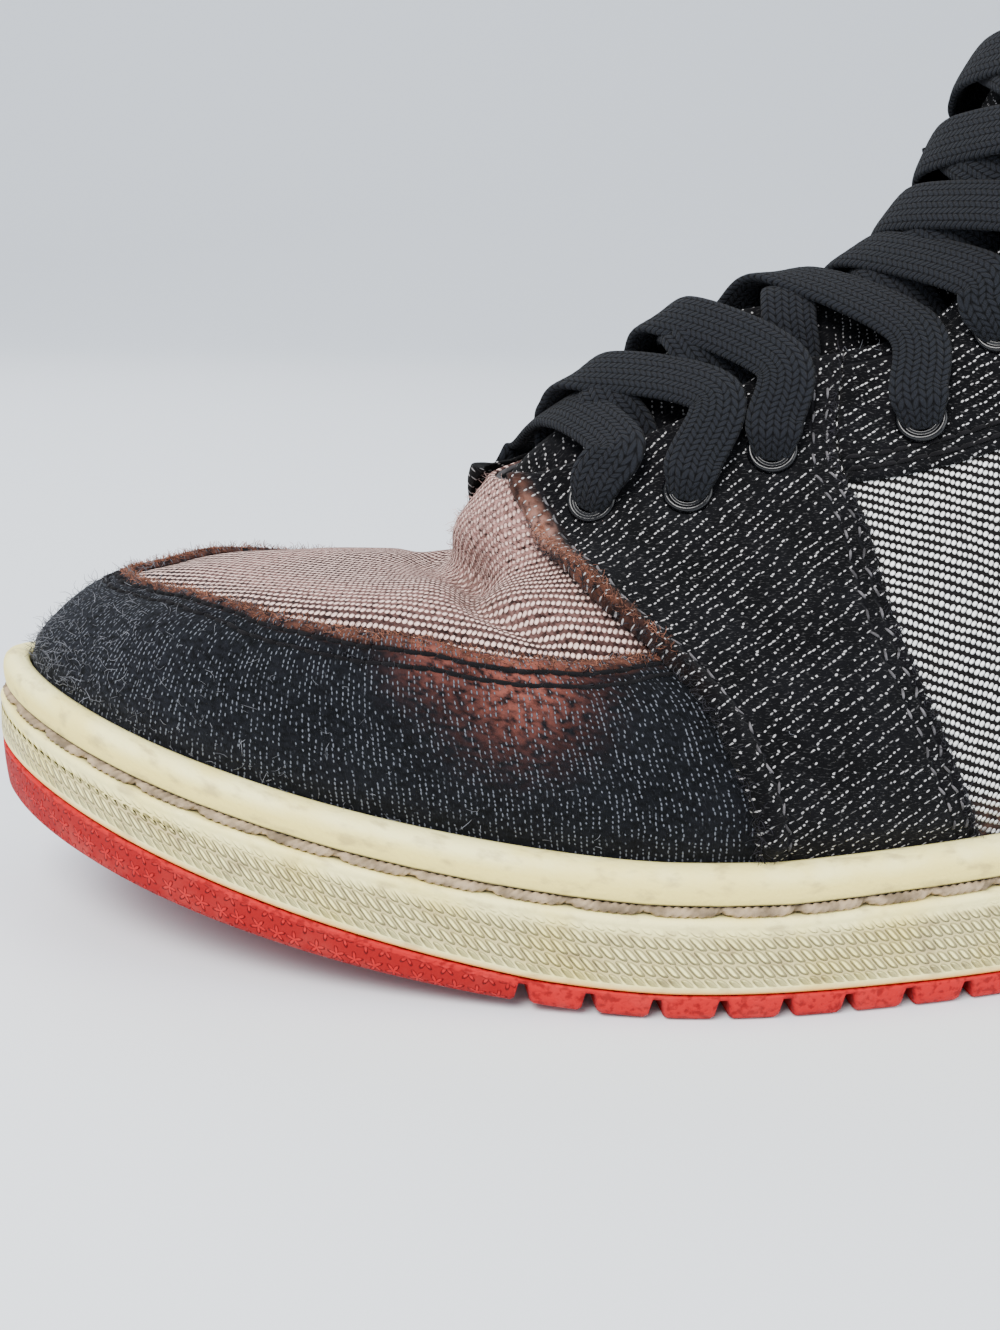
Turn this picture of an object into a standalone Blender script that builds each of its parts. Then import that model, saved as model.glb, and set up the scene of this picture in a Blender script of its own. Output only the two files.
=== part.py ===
"""A worn high-top lace-up shoe for the left foot, built at its real size.

The toe points to -X, the outer side of the foot to -Y, and the sole stands on z = 0. Lengths are
metres. Every shape is read from one sole outline, one throat loop and one table of sections, so the
pieces follow each other when a named size changes.
"""

from __future__ import annotations

import math
from dataclasses import dataclass
from typing import Callable

import bmesh
import bpy
import numpy as np
from mathutils import Matrix, Vector

MM = 0.001

SOLE_LENGTH = 300 * MM
BALL_HALF_WIDTH = 54 * MM
TOE_SPRING = 22 * MM
SPRING_START = 112 * MM
SPRING_POWER = 1.66
OUTSOLE_EDGE = 4.7 * MM
OUTSOLE_TOE_EXTRA = 4.5 * MM
OUTSOLE_TOE_START = 90 * MM
GROOVE_RISE = 18.8 * MM
LIP_RISE = 25.6 * MM
HEEL_RISE = 8.4 * MM
HEEL_RISE_START = 130 * MM
LIP_WIDTH = 6.5 * MM
CUP_FLOOR_RISE = 11.5 * MM
INSOLE_THICKNESS = 4 * MM
COLLAR_HEIGHT = 160 * MM
UPPER_WALL = 2.2 * MM
COLLAR_PADDING = 3.6 * MM
TONGUE_THICKNESS = 5 * MM
TONGUE_RISE = 24 * MM
GUARD_THICKNESS = 0.9 * MM
STAY_THICKNESS = 1.4 * MM
EYELET_OUTER = 8.6 * MM
EYELET_BORE = 5.2 * MM
EYELET_HEIGHT = 1.1 * MM
LACE_WIDTH = 9 * MM
LACE_THICKNESS = 2 * MM
OVER_LEAN = -0.2
UNDER_LEAN = 0.03
STRAP_START = 0.12
LUG_PITCH = 10.5 * MM
LUG_GAP = 1.4 * MM
LUG_DEPTH = 3.4 * MM
LUG_FIRST = 88 * MM
LUG_COUNT = 20
FIT_GAP = 0.3 * MM
WELD = 0.03 * MM

MID_X = SOLE_LENGTH / 2

# Sole outline from above, from the toe tip round the outer side to the heel and back along the
# inner side: share of the length from the toe, share of the ball's half width.
OUTLINE = np.array([
    (0.000, 0.27), (0.024, -0.09), (0.084, -0.43), (0.173, -0.69), (0.287, -0.88), (0.400, -1.00),
    (0.510, -0.97), (0.620, -0.87), (0.750, -0.79), (0.880, -0.74), (0.965, -0.52), (1.000, 0.00),
    (0.965, 0.50), (0.880, 0.72), (0.750, 0.70), (0.610, 0.64), (0.490, 0.70), (0.380, 0.85),
    (0.275, 0.97), (0.170, 0.955), (0.085, 0.82), (0.025, 0.56),
])

# Edge of the throat and collar at the same stations: share of the length from the toe, share of
# the ball's half width, share of the collar's height. The throat starts further forward on the
# inner side of the foot.
THROAT = np.array([
    (0.300, 0.05, 0.494), (0.310, -0.05, 0.500), (0.325, -0.13, 0.511), (0.353, -0.19, 0.535),
    (0.403, -0.20, 0.573), (0.456, -0.21, 0.628), (0.527, -0.25, 0.661), (0.573, -0.31, 0.760),
    (0.640, -0.42, 1.000), (0.793, -0.61, 0.930), (0.910, -0.46, 0.950), (0.960, 0.00, 0.985),
    (0.910, 0.46, 0.950), (0.790, 0.61, 0.930), (0.634, 0.42, 1.000), (0.560, 0.33, 0.756),
    (0.503, 0.29, 0.656), (0.430, 0.26, 0.609), (0.370, 0.26, 0.545), (0.323, 0.25, 0.510),
    (0.303, 0.22, 0.498), (0.297, 0.16, 0.494),
])

# How far each of nine levels lies from the sole to the throat edge, in plan and in height, from
# the toe (first row) to the heel (last row). A negative share bulges out over the sole.
ACROSS = np.array([
    (0, 0.05, 0.16, 0.32, 0.52, 0.740, 0.885, 0.940, 1),
    (0, 0.05, 0.15, 0.30, 0.50, 0.730, 0.875, 0.935, 1),
    (0, 0.03, 0.10, 0.22, 0.42, 0.660, 0.830, 0.920, 1),
    (0, -0.01, 0.02, 0.09, 0.25, 0.480, 0.720, 0.870, 1),
    (0, -0.03, -0.02, 0.05, 0.17, 0.340, 0.540, 0.770, 1),
    (0, -0.02, 0.02, 0.10, 0.22, 0.370, 0.550, 0.770, 1),
    (0, -0.02, 0.02, 0.09, 0.19, 0.320, 0.490, 0.720, 1),
    (0, 0.00, 0.03, 0.09, 0.18, 0.310, 0.490, 0.730, 1),
    (0, 0.03, 0.09, 0.19, 0.33, 0.500, 0.680, 0.850, 1),
    (0, 0.02, 0.08, 0.20, 0.36, 0.540, 0.720, 0.880, 1),
    (0, 0.02, 0.08, 0.20, 0.38, 0.600, 0.800, 0.930, 1),
    (0, 0.02, 0.08, 0.20, 0.38, 0.600, 0.800, 0.930, 1),
])
UP = np.array([
    (0, 0.180, 0.39, 0.475, 0.495, 0.500, 0.470, 0.750, 1),
    (0, 0.180, 0.39, 0.485, 0.515, 0.520, 0.490, 0.760, 1),
    (0, 0.220, 0.42, 0.515, 0.550, 0.565, 0.550, 0.770, 1),
    (0, 0.170, 0.34, 0.470, 0.545, 0.575, 0.600, 0.760, 1),
    (0, 0.140, 0.28, 0.385, 0.475, 0.550, 0.640, 0.790, 1),
    (0, 0.115, 0.23, 0.325, 0.420, 0.520, 0.625, 0.780, 1),
    (0, 0.120, 0.24, 0.345, 0.450, 0.560, 0.680, 0.830, 1),
    (0, 0.125, 0.25, 0.370, 0.490, 0.610, 0.730, 0.860, 1),
    (0, 0.125, 0.25, 0.375, 0.500, 0.625, 0.750, 0.875, 1),
    (0, 0.125, 0.25, 0.375, 0.500, 0.625, 0.750, 0.875, 1),
    (0, 0.125, 0.25, 0.375, 0.500, 0.625, 0.750, 0.875, 1),
    (0, 0.125, 0.25, 0.375, 0.500, 0.625, 0.750, 0.875, 1),
])

# The heel cup swells above the lip and draws in above the ankle bone, by these lengths a level,
# in full at the heel and fading out towards the waist.
HEEL_SWELL = np.array([0, 2.0, 3.0, 2.5, 0.5, -2.0, -3.0, -2.0, 0]) * MM
HEEL_SHARE = np.array([0, 0, 0, 0, 0, 0, 0, 0.1, 0.3, 0.6, 0.9, 1.0])

# Station and level of the eyelets on the outer side, from the toe up. The inner side mirrors them.
EYELETS = np.array([
    (3.24, 7.28), (4.32, 6.95), (4.97, 7.16), (6.02, 6.94),
    (6.75, 7.30), (7.16, 7.35), (7.47, 7.40), (7.78, 7.40),
])

# The tongue: the stations of its steps up the throat, and how far its middle stands forward.
TONGUE_STEPS = np.array([1.2, 1.9, 2.6, 3.4, 4.2, 5.0, 5.7, 6.3, 6.8, 7.2, 7.5, 7.8])
TONGUE_ARCH = np.array([1, 3, 5, 8, 11, 12, 11, 10, 9, 8, 7, 6]) * MM

# Edges of the overlays: the station at which each one crosses level 0, 1, 2 and so on.
STAY_FRONT = np.array([5.14, 5.10, 4.97, 4.81, 4.52, 4.11, 3.52, 2.40, 0.75])
STAY_REAR = np.array([6.35, 6.22, 6.08, 5.96, 5.84, 5.74, 5.64, 5.44, 5.44])
COUNTER_FRONT = np.array([8.75, 8.85, 9.05, 9.35, 9.80, 10.30, 10.60, 10.80, 11.00])

STATIONS = len(OUTLINE)
HEEL_STATION = STATIONS // 2
TOP_LEVEL = UP.shape[1] - 1
SKIRT_LEVEL = -1.0
OVERLAY_FOOT = 0.05
OVERLAY_TOP = 7.96
STATION_GAP = 0.014
PAST_EDGE = 0.15
COLUMNS_PER_STATION = 3


@dataclass(frozen=True)
class Finish:
    """Colour and surface of one node's plain material."""

    colour: tuple[float, float, float]
    roughness: float
    metallic: float = 0.0


CREAM_RUBBER = Finish((0.66, 0.60, 0.44), 0.55)
RED_RUBBER = Finish((0.52, 0.070, 0.050), 0.62)
WHITE_TWILL = Finish((0.34, 0.31, 0.29), 0.92)
BLACK_DENIM = Finish((0.030, 0.031, 0.036), 0.93)
GREY_LINING = Finish((0.045, 0.045, 0.050), 0.95)
LACE_BLACK = Finish((0.016, 0.018, 0.023), 0.85)
BLACK_METAL = Finish((0.020, 0.020, 0.022), 0.22, 0.9)


def clear_scene() -> None:
    """Removes what the startup scene holds."""
    for obj in list(bpy.data.objects):
        bpy.data.objects.remove(obj, do_unlink=True)


def blend(
    before: np.ndarray, start: np.ndarray, end: np.ndarray, after: np.ndarray, part: np.ndarray
) -> np.ndarray:
    """Smooth curve through four neighbours, at a share between the middle two."""
    linear = (end - before) * part
    square = (2 * before - 5 * start + 4 * end - after) * part**2
    cube = (3 * start - before - 3 * end + after) * part**3
    return 0.5 * (2 * start + linear + square + cube)


def along_loop(points: np.ndarray, at: np.ndarray) -> np.ndarray:
    """Reads a closed smooth curve through the rows of a table at fractional row numbers."""
    first = np.floor(at).astype(int)
    part = (at - first).reshape(at.shape + (1,) * (points.ndim - 1))
    rows = [points[(first + step) % len(points)] for step in (-1, 0, 1, 2)]
    return blend(*rows, part)


def along_rows(points: np.ndarray, at: np.ndarray) -> np.ndarray:
    """Reads an open smooth curve through the rows of a table at fractional row numbers."""
    ends = np.concatenate([2 * points[:1] - points[1:2], points, 2 * points[-1:] - points[-2:-1]])
    first = np.clip(np.floor(at).astype(int), 0, len(points) - 2)
    part = (at - first).reshape(at.shape + (1,) * (points.ndim - 1))
    rows = [ends[first + step] for step in (0, 1, 2, 3)]
    return blend(*rows, part)


def outline(at: np.ndarray, inset: float) -> np.ndarray:
    """Sole outline at fractional stations, moved inwards by a length."""
    plan = OUTLINE * [SOLE_LENGTH, BALL_HALF_WIDTH]
    step = 0.001
    run = along_loop(plan, at + step) - along_loop(plan, at - step)
    inward = np.stack([-run[..., 1], run[..., 0]], axis=-1)
    inward /= np.linalg.norm(inward, axis=-1, keepdims=True)
    return along_loop(plan, at) + inward * inset


def spring(x: np.ndarray) -> np.ndarray:
    """Height of the sole's underside at a distance from the toe."""
    return TOE_SPRING * np.clip(1 - x / SPRING_START, 0, 1) ** SPRING_POWER


def heel_rise(x: np.ndarray) -> np.ndarray:
    """How far the sole's upper lines climb towards the heel."""
    return HEEL_RISE * np.clip((x - HEEL_RISE_START) / (SOLE_LENGTH - HEEL_RISE_START), 0, 1)


def border_height(x: np.ndarray) -> np.ndarray:
    """Height where the red outsole meets the cream midsole."""
    return spring(x) + OUTSOLE_EDGE + OUTSOLE_TOE_EXTRA * np.clip(1 - x / OUTSOLE_TOE_START, 0, 1)


def groove_height(x: np.ndarray) -> np.ndarray:
    """Height of the stitched groove round the midsole."""
    return spring(x) + GROOVE_RISE + heel_rise(x)


def lip_height(x: np.ndarray) -> np.ndarray:
    """Height of the midsole's upper lip, where the fabric starts."""
    return spring(x) + LIP_RISE + heel_rise(x)


def floor_height(x: np.ndarray) -> np.ndarray:
    """Height of the cup's floor, under the insole."""
    return spring(x) + CUP_FLOOR_RISE + heel_rise(x)


def section_net() -> np.ndarray:
    """Control points of the upper: a row for each station and a column for each level."""
    at = np.arange(STATIONS)
    side = np.minimum(at, STATIONS - at)
    foot = outline(at.astype(float), LIP_WIDTH)
    base = np.column_stack([foot, lip_height(foot[:, 0])])
    edge = THROAT * [SOLE_LENGTH, BALL_HALF_WIDTH, COLLAR_HEIGHT]
    outward = (outline(at.astype(float), LIP_WIDTH - MM) - foot) / MM
    reach = edge - base
    net = np.empty((STATIONS, TOP_LEVEL + 1, 3))
    net[..., :2] = base[:, None, :2] + reach[:, None, :2] * ACROSS[side][..., None]
    net[..., 2] = base[:, None, 2] + reach[:, None, 2] * UP[side]
    swell = HEEL_SHARE[side][:, None] * HEEL_SWELL[None, :]
    net[..., :2] += outward[:, None, :] * swell[..., None]
    return net


NET = section_net()


def surface(station: np.ndarray, level: np.ndarray) -> np.ndarray:
    """Outer face of the upper at fractional stations and levels.

    A station between two rows of the net blends them smoothly round the shoe, and a level then
    blends smoothly up the side. Below level 0 the face drops straight into the sole's cup.
    """
    station, level = np.broadcast_arrays(np.asarray(station, float), np.asarray(level, float))
    rows = along_loop(NET, station.ravel())
    ends = np.concatenate(
        [2 * rows[:, :1] - rows[:, 1:2], rows, 2 * rows[:, -1:] - rows[:, -2:-1]], axis=1
    )
    height = level.ravel()
    first = np.clip(np.floor(height).astype(int), 0, TOP_LEVEL - 1)
    part = np.clip(height - first, 0, None)[:, None]
    pick = np.arange(len(height))
    found = blend(*[ends[pick, first + step] for step in (0, 1, 2, 3)], part)
    x = found[:, 0]
    depth = lip_height(x) - floor_height(x) - FIT_GAP
    found[:, 2] += np.minimum(height, 0) * depth
    return found.reshape(station.shape + (3,))


def outward_normal(station: np.ndarray, level: np.ndarray) -> np.ndarray:
    """Unit vector out of the upper's face, level in the skirt that stands in the cup."""
    step = 0.01
    station, level = np.broadcast_arrays(np.asarray(station, float), np.asarray(level, float))
    middle = np.clip(level, step, TOP_LEVEL - step)
    along = surface(station + step, middle) - surface(station - step, middle)
    rise = surface(station, middle + step) - surface(station, middle - step)
    skirt = np.clip(-level, 0, 1)[..., None]
    rise = rise / np.linalg.norm(rise, axis=-1, keepdims=True)
    rise = rise * (1 - skirt) + np.array([0.0, 0.0, 1.0]) * skirt
    normal = np.cross(along, rise)
    return normal / np.linalg.norm(normal, axis=-1, keepdims=True)


def offset_surface(station: np.ndarray, level: np.ndarray, lift: np.ndarray | float) -> np.ndarray:
    """The upper's face moved out along its own normal by a length."""
    return surface(station, level) + outward_normal(station, level) * np.asarray(lift)[..., None]


def wall_thickness(station: np.ndarray, level: np.ndarray) -> np.ndarray:
    """Wall of the upper: thin fabric, and padding round the collar."""
    round_collar = np.clip(1.6 - np.abs((station % STATIONS) - HEEL_STATION) / 2.2, 0, 1)
    near_edge = np.clip((level - 5.5) / 1.2, 0, 1) * np.clip((8.35 - level) / 0.6, 0, 1)
    return UPPER_WALL + COLLAR_PADDING * round_collar * near_edge


def to_world(points: np.ndarray) -> np.ndarray:
    """Moves points measured from the toe tip to the part's own origin."""
    plan = OUTLINE * [SOLE_LENGTH, BALL_HALF_WIDTH]
    round_outline = along_loop(plan, np.linspace(0, STATIONS, 2000))
    mid_y = (round_outline[:, 1].min() + round_outline[:, 1].max()) / 2
    return points - np.array([MID_X, mid_y, 0.0])


def material_for(name: str, finish: Finish) -> bpy.types.Material:
    """Makes a node's own Principled material."""
    material = bpy.data.materials.new(name)
    material.use_nodes = True
    shader = material.node_tree.nodes["Principled BSDF"]
    shader.inputs["Base Color"].default_value = (*finish.colour, 1.0)
    shader.inputs["Roughness"].default_value = finish.roughness
    shader.inputs["Metallic"].default_value = finish.metallic
    material.diffuse_color = (*finish.colour, 1.0)
    return material


def mesh_object(
    name: str, points: np.ndarray, faces: list[tuple[int, ...]], finish: Finish
) -> bpy.types.Object:
    """Makes a smooth closed mesh with its faces out."""
    mesh = bpy.data.meshes.new(name)
    mesh.from_pydata(to_world(points).tolist(), [], faces)
    body = bmesh.new()
    body.from_mesh(mesh)
    bmesh.ops.recalc_face_normals(body, faces=body.faces)
    body.to_mesh(mesh)
    body.free()
    mesh.polygons.foreach_set("use_smooth", [True] * len(mesh.polygons))
    obj = bpy.data.objects.new(name, mesh)
    bpy.context.scene.collection.objects.link(obj)
    mesh.materials.append(material_for(name, finish))
    mesh.set_sharp_from_angle(angle=math.radians(38))
    return obj


def grid_faces(rows: int, columns: int, first: int, wrap: bool) -> list[tuple[int, ...]]:
    """Triangles between the rows and columns of a grid of points, closed round the rows if asked.

    Each cell is split along the same diagonal, so that a layer over another stays parallel to it.
    """
    faces = []
    for row in range(rows if wrap else rows - 1):
        after = (row + 1) % rows
        for column in range(columns - 1):
            corner = first + row * columns + column
            other = first + after * columns + column
            faces.append((corner, other, other + 1))
            faces.append((corner, other + 1, corner + 1))
    return faces


def shell(
    name: str, outer: np.ndarray, inner: np.ndarray, wrap: bool, finish: Finish
) -> bpy.types.Object:
    """Closed wall between two grids of points with matching rows and columns."""
    rows, columns = outer.shape[:2]
    count = rows * columns
    points = np.concatenate([outer.reshape(-1, 3), inner.reshape(-1, 3)])
    faces = grid_faces(rows, columns, 0, wrap)
    faces += [tuple(reversed(face)) for face in grid_faces(rows, columns, count, wrap)]
    for row in range(rows if wrap else rows - 1):
        after = (row + 1) % rows
        for column in (0, columns - 1):
            corner = row * columns + column
            other = after * columns + column
            faces.append((corner, other, other + count, corner + count))
    if not wrap:
        for row in (0, rows - 1):
            for column in range(columns - 1):
                corner = row * columns + column
                faces.append((corner, corner + 1, corner + 1 + count, corner + count))
    return mesh_object(name, points, faces, finish)


def ring(inset: float, height: Callable[[np.ndarray], np.ndarray], half: int) -> np.ndarray:
    """Loop round the sole at an inset, with matching points on both sides.

    The points run from the toe tip along the outer side to the heel and back. Their distances
    from the toe follow a cosine, so both round ends stay round.
    """
    dense = outline(np.linspace(0, STATIONS, 2400, endpoint=False), inset)
    tip = int(np.argmin(dense[:, 0]))
    dense = np.roll(dense, -tip, axis=0)
    heel = int(np.argmax(dense[:, 0]))
    outer_side = dense[: heel + 1]
    inner_side = np.concatenate([dense[heel:], dense[:1]])[::-1]
    share = (1 - np.cos(np.linspace(0, math.pi, half))) / 2
    x = dense[0, 0] + (dense[heel, 0] - dense[0, 0]) * share
    outer_y = np.interp(x, outer_side[:, 0], outer_side[:, 1])
    inner_y = np.interp(x, inner_side[:, 0], inner_side[:, 1])
    loop_x = np.concatenate([x, x[-2:0:-1]])
    loop_y = np.concatenate([outer_y, inner_y[-2:0:-1]])
    return np.column_stack([loop_x, loop_y, height(loop_x)])


def stacked(name: str, rings: list[np.ndarray], finish: Finish) -> bpy.types.Object:
    """Closed solid through loops of matching points, capped by strips across the first and last."""
    count = len(rings[0])
    half = count // 2 + 1
    faces = []
    for level in range(len(rings) - 1):
        for point in range(count):
            after = (point + 1) % count
            low = level * count
            faces.append((low + point, low + after, low + count + after, low + count + point))
    for first in (0, (len(rings) - 1) * count):
        for step in range(half - 1):
            left, left_next = first + step, first + step + 1
            right = first + (count - step) % count
            right_next = first + count - step - 1
            corners = [left, left_next, right_next, right]
            unique = tuple(dict.fromkeys(corners))
            faces.append(unique)
    return mesh_object(name, np.concatenate(rings), faces, finish)


def main_body(body: bmesh.types.BMesh) -> set[bmesh.types.BMFace]:
    """Largest group of faces that share edges."""
    left = set(body.faces)
    best: set[bmesh.types.BMFace] = set()
    while left:
        group = set()
        edge_of_group = [left.pop()]
        while edge_of_group:
            face = edge_of_group.pop()
            group.add(face)
            for edge in face.edges:
                for other in edge.link_faces:
                    if other in left:
                        left.remove(other)
                        edge_of_group.append(other)
        if len(group) > len(best):
            best = group
    return best


def settle(obj: bpy.types.Object) -> None:
    """Bakes an object's Booleans into its mesh and closes the hairline edges that they leave."""
    graph = bpy.context.evaluated_depsgraph_get()
    mesh = bpy.data.meshes.new_from_object(obj.evaluated_get(graph))
    obj.modifiers.clear()
    obj.data = mesh
    body = bmesh.new()
    body.from_mesh(mesh)
    bmesh.ops.triangulate(body, faces=body.faces)
    bmesh.ops.remove_doubles(body, verts=body.verts, dist=WELD)
    bmesh.ops.dissolve_degenerate(body, edges=body.edges, dist=WELD)
    bmesh.ops.triangulate(body, faces=body.faces)
    kept = main_body(body)
    crumbs = [face for face in body.faces if face not in kept]
    bmesh.ops.delete(body, geom=crumbs, context="FACES")
    body.to_mesh(mesh)
    body.free()


def cut(obj: bpy.types.Object, cutter: bpy.types.Object, operation: str) -> None:
    """Cuts one object exactly with a helper, which is then removed."""
    modifier = obj.modifiers.new(cutter.name, "BOOLEAN")
    modifier.operation = operation
    modifier.solver = "EXACT"
    modifier.object = cutter
    settle(obj)
    bpy.data.objects.remove(cutter, do_unlink=True)


def build_outsole() -> bpy.types.Object:
    """Red rubber sheet with its bevelled foot and the gaps between its lugs."""
    half = 23
    rings = [
        ring(2.0 * MM, spring, half),
        ring(0.8 * MM, lambda x: spring(x) + 0.9 * MM, half),
        ring(0.15 * MM, lambda x: border_height(x) - 0.5 * FIT_GAP, half),
    ]
    sole = stacked("outsole", rings, RED_RUBBER)
    body = bmesh.new()
    for number in range(LUG_COUNT):
        x = LUG_FIRST + LUG_PITCH * number
        low = -3 * MM
        high = float(spring(np.array(x))) + LUG_DEPTH
        centre = to_world(np.array([x, 0.0, (low + high) / 2]))
        size = Vector((LUG_GAP, 3 * BALL_HALF_WIDTH, high - low))
        place = Matrix.Translation(centre) @ Matrix.Diagonal(size).to_4x4()
        bmesh.ops.create_cube(body, size=1.0, matrix=place)
    mesh = bpy.data.meshes.new("lug_gaps")
    body.to_mesh(mesh)
    body.free()
    cutter = bpy.data.objects.new("lug_gaps", mesh)
    bpy.context.scene.collection.objects.link(cutter)
    cut(sole, cutter, "DIFFERENCE")
    return sole


def build_midsole() -> bpy.types.Object:
    """Cream rubber cup: side wall, stitched groove, rounded lip, inner wall and floor."""
    half = 23
    wall = LIP_WIDTH - 2.6 * FIT_GAP
    rings = [
        ring(0.15 * MM, lambda x: border_height(x) + 0.5 * FIT_GAP, half),
        ring(0.0, lambda x: border_height(x) + 1.4 * MM, half),
        ring(0.5 * MM, lambda x: groove_height(x) - 1.8 * MM, half),
        ring(1.1 * MM, lambda x: groove_height(x) - 0.9 * MM, half),
        ring(3.2 * MM, lambda x: groove_height(x) - 0.7 * MM, half),
        ring(3.2 * MM, lambda x: groove_height(x) + 0.8 * MM, half),
        ring(1.5 * MM, lambda x: groove_height(x) + 1.2 * MM, half),
        ring(1.2 * MM, lambda x: lip_height(x) - 2.6 * MM, half),
        ring(2.0 * MM, lambda x: lip_height(x) - 0.9 * MM, half),
        ring(3.6 * MM, lip_height, half),
        ring(wall, lambda x: lip_height(x) - 0.1 * MM, half),
        ring(wall, floor_height, half),
    ]
    return stacked("midsole", rings, CREAM_RUBBER)


def build_insole() -> bpy.types.Object:
    """Thin plate on the cup's floor, inside the upper's wall."""
    half = 19
    inset = LIP_WIDTH + UPPER_WALL + 1.6 * FIT_GAP
    rings = [
        ring(inset, lambda x: floor_height(x) + FIT_GAP, half),
        ring(inset, lambda x: floor_height(x) + FIT_GAP + INSOLE_THICKNESS, half),
    ]
    return stacked("insole", rings, GREY_LINING)


def upper_lattice() -> tuple[np.ndarray, np.ndarray]:
    """Stations and levels at which the upper and its overlays are sampled."""
    stations = np.arange(STATIONS * COLUMNS_PER_STATION) / COLUMNS_PER_STATION
    levels = np.array([SKIRT_LEVEL, 0, 0.7, 1.4, 2.2, 3.1, 4, 5, 6, 6.8, 7.5, 8])
    return stations, levels


def build_upper() -> bpy.types.Object:
    """One hollow wall, open at the collar, down the throat and underneath."""
    stations, levels = upper_lattice()
    station, level = np.meshgrid(stations, levels, indexing="ij")
    outer = surface(station, level)
    inner = offset_surface(station, level, -wall_thickness(station, level))
    return shell("upper", outer, inner, True, WHITE_TWILL)


def overlay(
    name: str, station: np.ndarray, level: np.ndarray, thickness: float, finish: Finish
) -> bpy.types.Object:
    """A layer over the upper, cut between two of the upper's own larger forms.

    The layer is sampled at the upper's own stations and levels, so their facets stay parallel,
    and a grid of stations and levels trims it to the panel's outline.
    """
    all_stations, all_levels = upper_lattice()
    step = all_stations[1]
    first = math.floor(station.min() / step) - 1
    last = math.ceil(station.max() / step) + 1
    columns = np.arange(first, last + 1) * step
    low_row = max(int(np.searchsorted(all_levels, level.min())) - 1, 1)
    high_row = min(int(np.searchsorted(all_levels, level.max())), len(all_levels) - 1)
    rows = np.clip(all_levels[low_row:high_row + 1], OVERLAY_FOOT, OVERLAY_TOP)
    grid = np.meshgrid(columns, rows, indexing="ij")
    bottom = offset_surface(*grid, FIT_GAP)
    top = offset_surface(*grid, FIT_GAP + thickness)
    layer = shell(name, top, bottom, False, finish)
    high = offset_surface(station, level, 4 * MM)
    low = offset_surface(station, level, -1.2 * MM)
    cutter = shell(name + "_outline", high, low, False, finish)
    cut(layer, cutter, "INTERSECT")
    return layer


def build_toe_guard() -> bpy.types.Object:
    """Black cap round the toe, up to the frayed edge of the vamp and back to the stays."""
    across = np.linspace(-1, 1, 30)
    up = np.linspace(0, 1, 6)
    top = np.interp(
        np.abs(across),
        [0, 0.12, 0.33, 0.48, 0.61, 0.72, 0.80, 0.88, 0.94, 1.0],
        [2.40, 2.50, 2.86, 3.08, 3.36, 3.58, 3.60, 3.74, 3.96, 4.14],
    )
    level = up[None, :] * (top[:, None] + PAST_EDGE) - PAST_EDGE
    station = across[:, None] * (along_rows(STAY_FRONT, level) - STATION_GAP)
    return overlay("toe_guard", station, level, GUARD_THICKNESS, BLACK_DENIM)


def build_stay(name: str, turn: int) -> bpy.types.Object:
    """Front eyestay, from the sole up to the throat's edge, over the toe guard."""
    level = np.linspace(-PAST_EDGE, TOP_LEVEL + PAST_EDGE, 22)[None, :]
    front = along_rows(STAY_FRONT, level)
    rear = along_rows(STAY_REAR, level)
    share = np.linspace(0, 1, 4)[:, None]
    station = turn * (front + (rear - front) * share)
    level = np.broadcast_to(level, station.shape)
    return overlay(name, station, level, STAY_THICKNESS, BLACK_DENIM)


def build_ankle_panel(name: str, turn: int) -> bpy.types.Object:
    """Upper eyestay and ankle panel, from behind the front stay round to the heel."""
    share = np.linspace(0, 1, 15)[:, None]
    rise = np.linspace(0, 1, 6)[None, :]
    front = 5.66
    heel = HEEL_STATION - 0.6 * STATION_GAP
    lower = np.interp(
        front + (heel - front) * share,
        [5.66, 6.06, 6.55, 7.2, 8.0, 9.0, 10.0, 11.0],
        [6.56, 6.37, 6.08, 5.55, 5.0, 4.7, 4.6, 4.6],
    )
    level = lower + (TOP_LEVEL + PAST_EDGE - lower) * rise
    edge = along_rows(STAY_REAR, level) + STATION_GAP
    station = turn * (edge + (heel - edge) * share)
    return overlay(name, station, level, STAY_THICKNESS, BLACK_DENIM)


def build_heel_counter() -> bpy.types.Object:
    """Heel panel, from the sole up to the ankle panels."""
    share = np.linspace(-1, 1, 16)[:, None]
    top = 4.55 - 0.6 * np.clip(np.abs(share) - 0.2, 0, 1) ** 1.5
    rise = np.linspace(0, 1, 7)[None, :]
    level = rise * (top + PAST_EDGE) - PAST_EDGE
    reach = HEEL_STATION - along_rows(COUNTER_FRONT, level)
    station = HEEL_STATION + share * reach
    return overlay("heel_counter", station, level, STAY_THICKNESS, BLACK_DENIM)


def tongue_rungs() -> np.ndarray:
    """Points across the tongue's outer face, one row for each step up the throat.

    Its sides lie just inside the upper's wall and its middle crosses the throat as a low arch.
    Past the top eyelets it runs on and stands above the collar.
    """
    depth = UPPER_WALL + np.interp(TONGUE_STEPS, [1, 4, 7, 8], [0.7, 1.3, 1.6, 3.4]) * MM
    sides = []
    for level in (6.6, 7.3, 7.95):
        for turn in (1, -1):
            sides.append(offset_surface(turn * TONGUE_STEPS, level, -depth))
    middle = (sides[4] + sides[5]) / 2
    run = np.gradient(middle, axis=0)
    forward = np.column_stack([-run[:, 2], np.zeros(len(run)), run[:, 0]])
    forward /= np.linalg.norm(forward, axis=1, keepdims=True)
    middle += forward * TONGUE_ARCH[:, None]
    net = np.stack([*sides[0::2], middle, *sides[5::-2]], axis=1)
    rise = middle[-1] - middle[-3]
    rise *= TONGUE_RISE / np.linalg.norm(rise)
    spread = net[-1] - middle[-1]
    flatter = middle[-1] + rise * 0.5 + spread * [0.6, 1.0, 0.8]
    top = middle[-1] + rise + spread * [0.35, 0.92, 0.9]
    return np.concatenate([net, [flatter], [top]])


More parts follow.
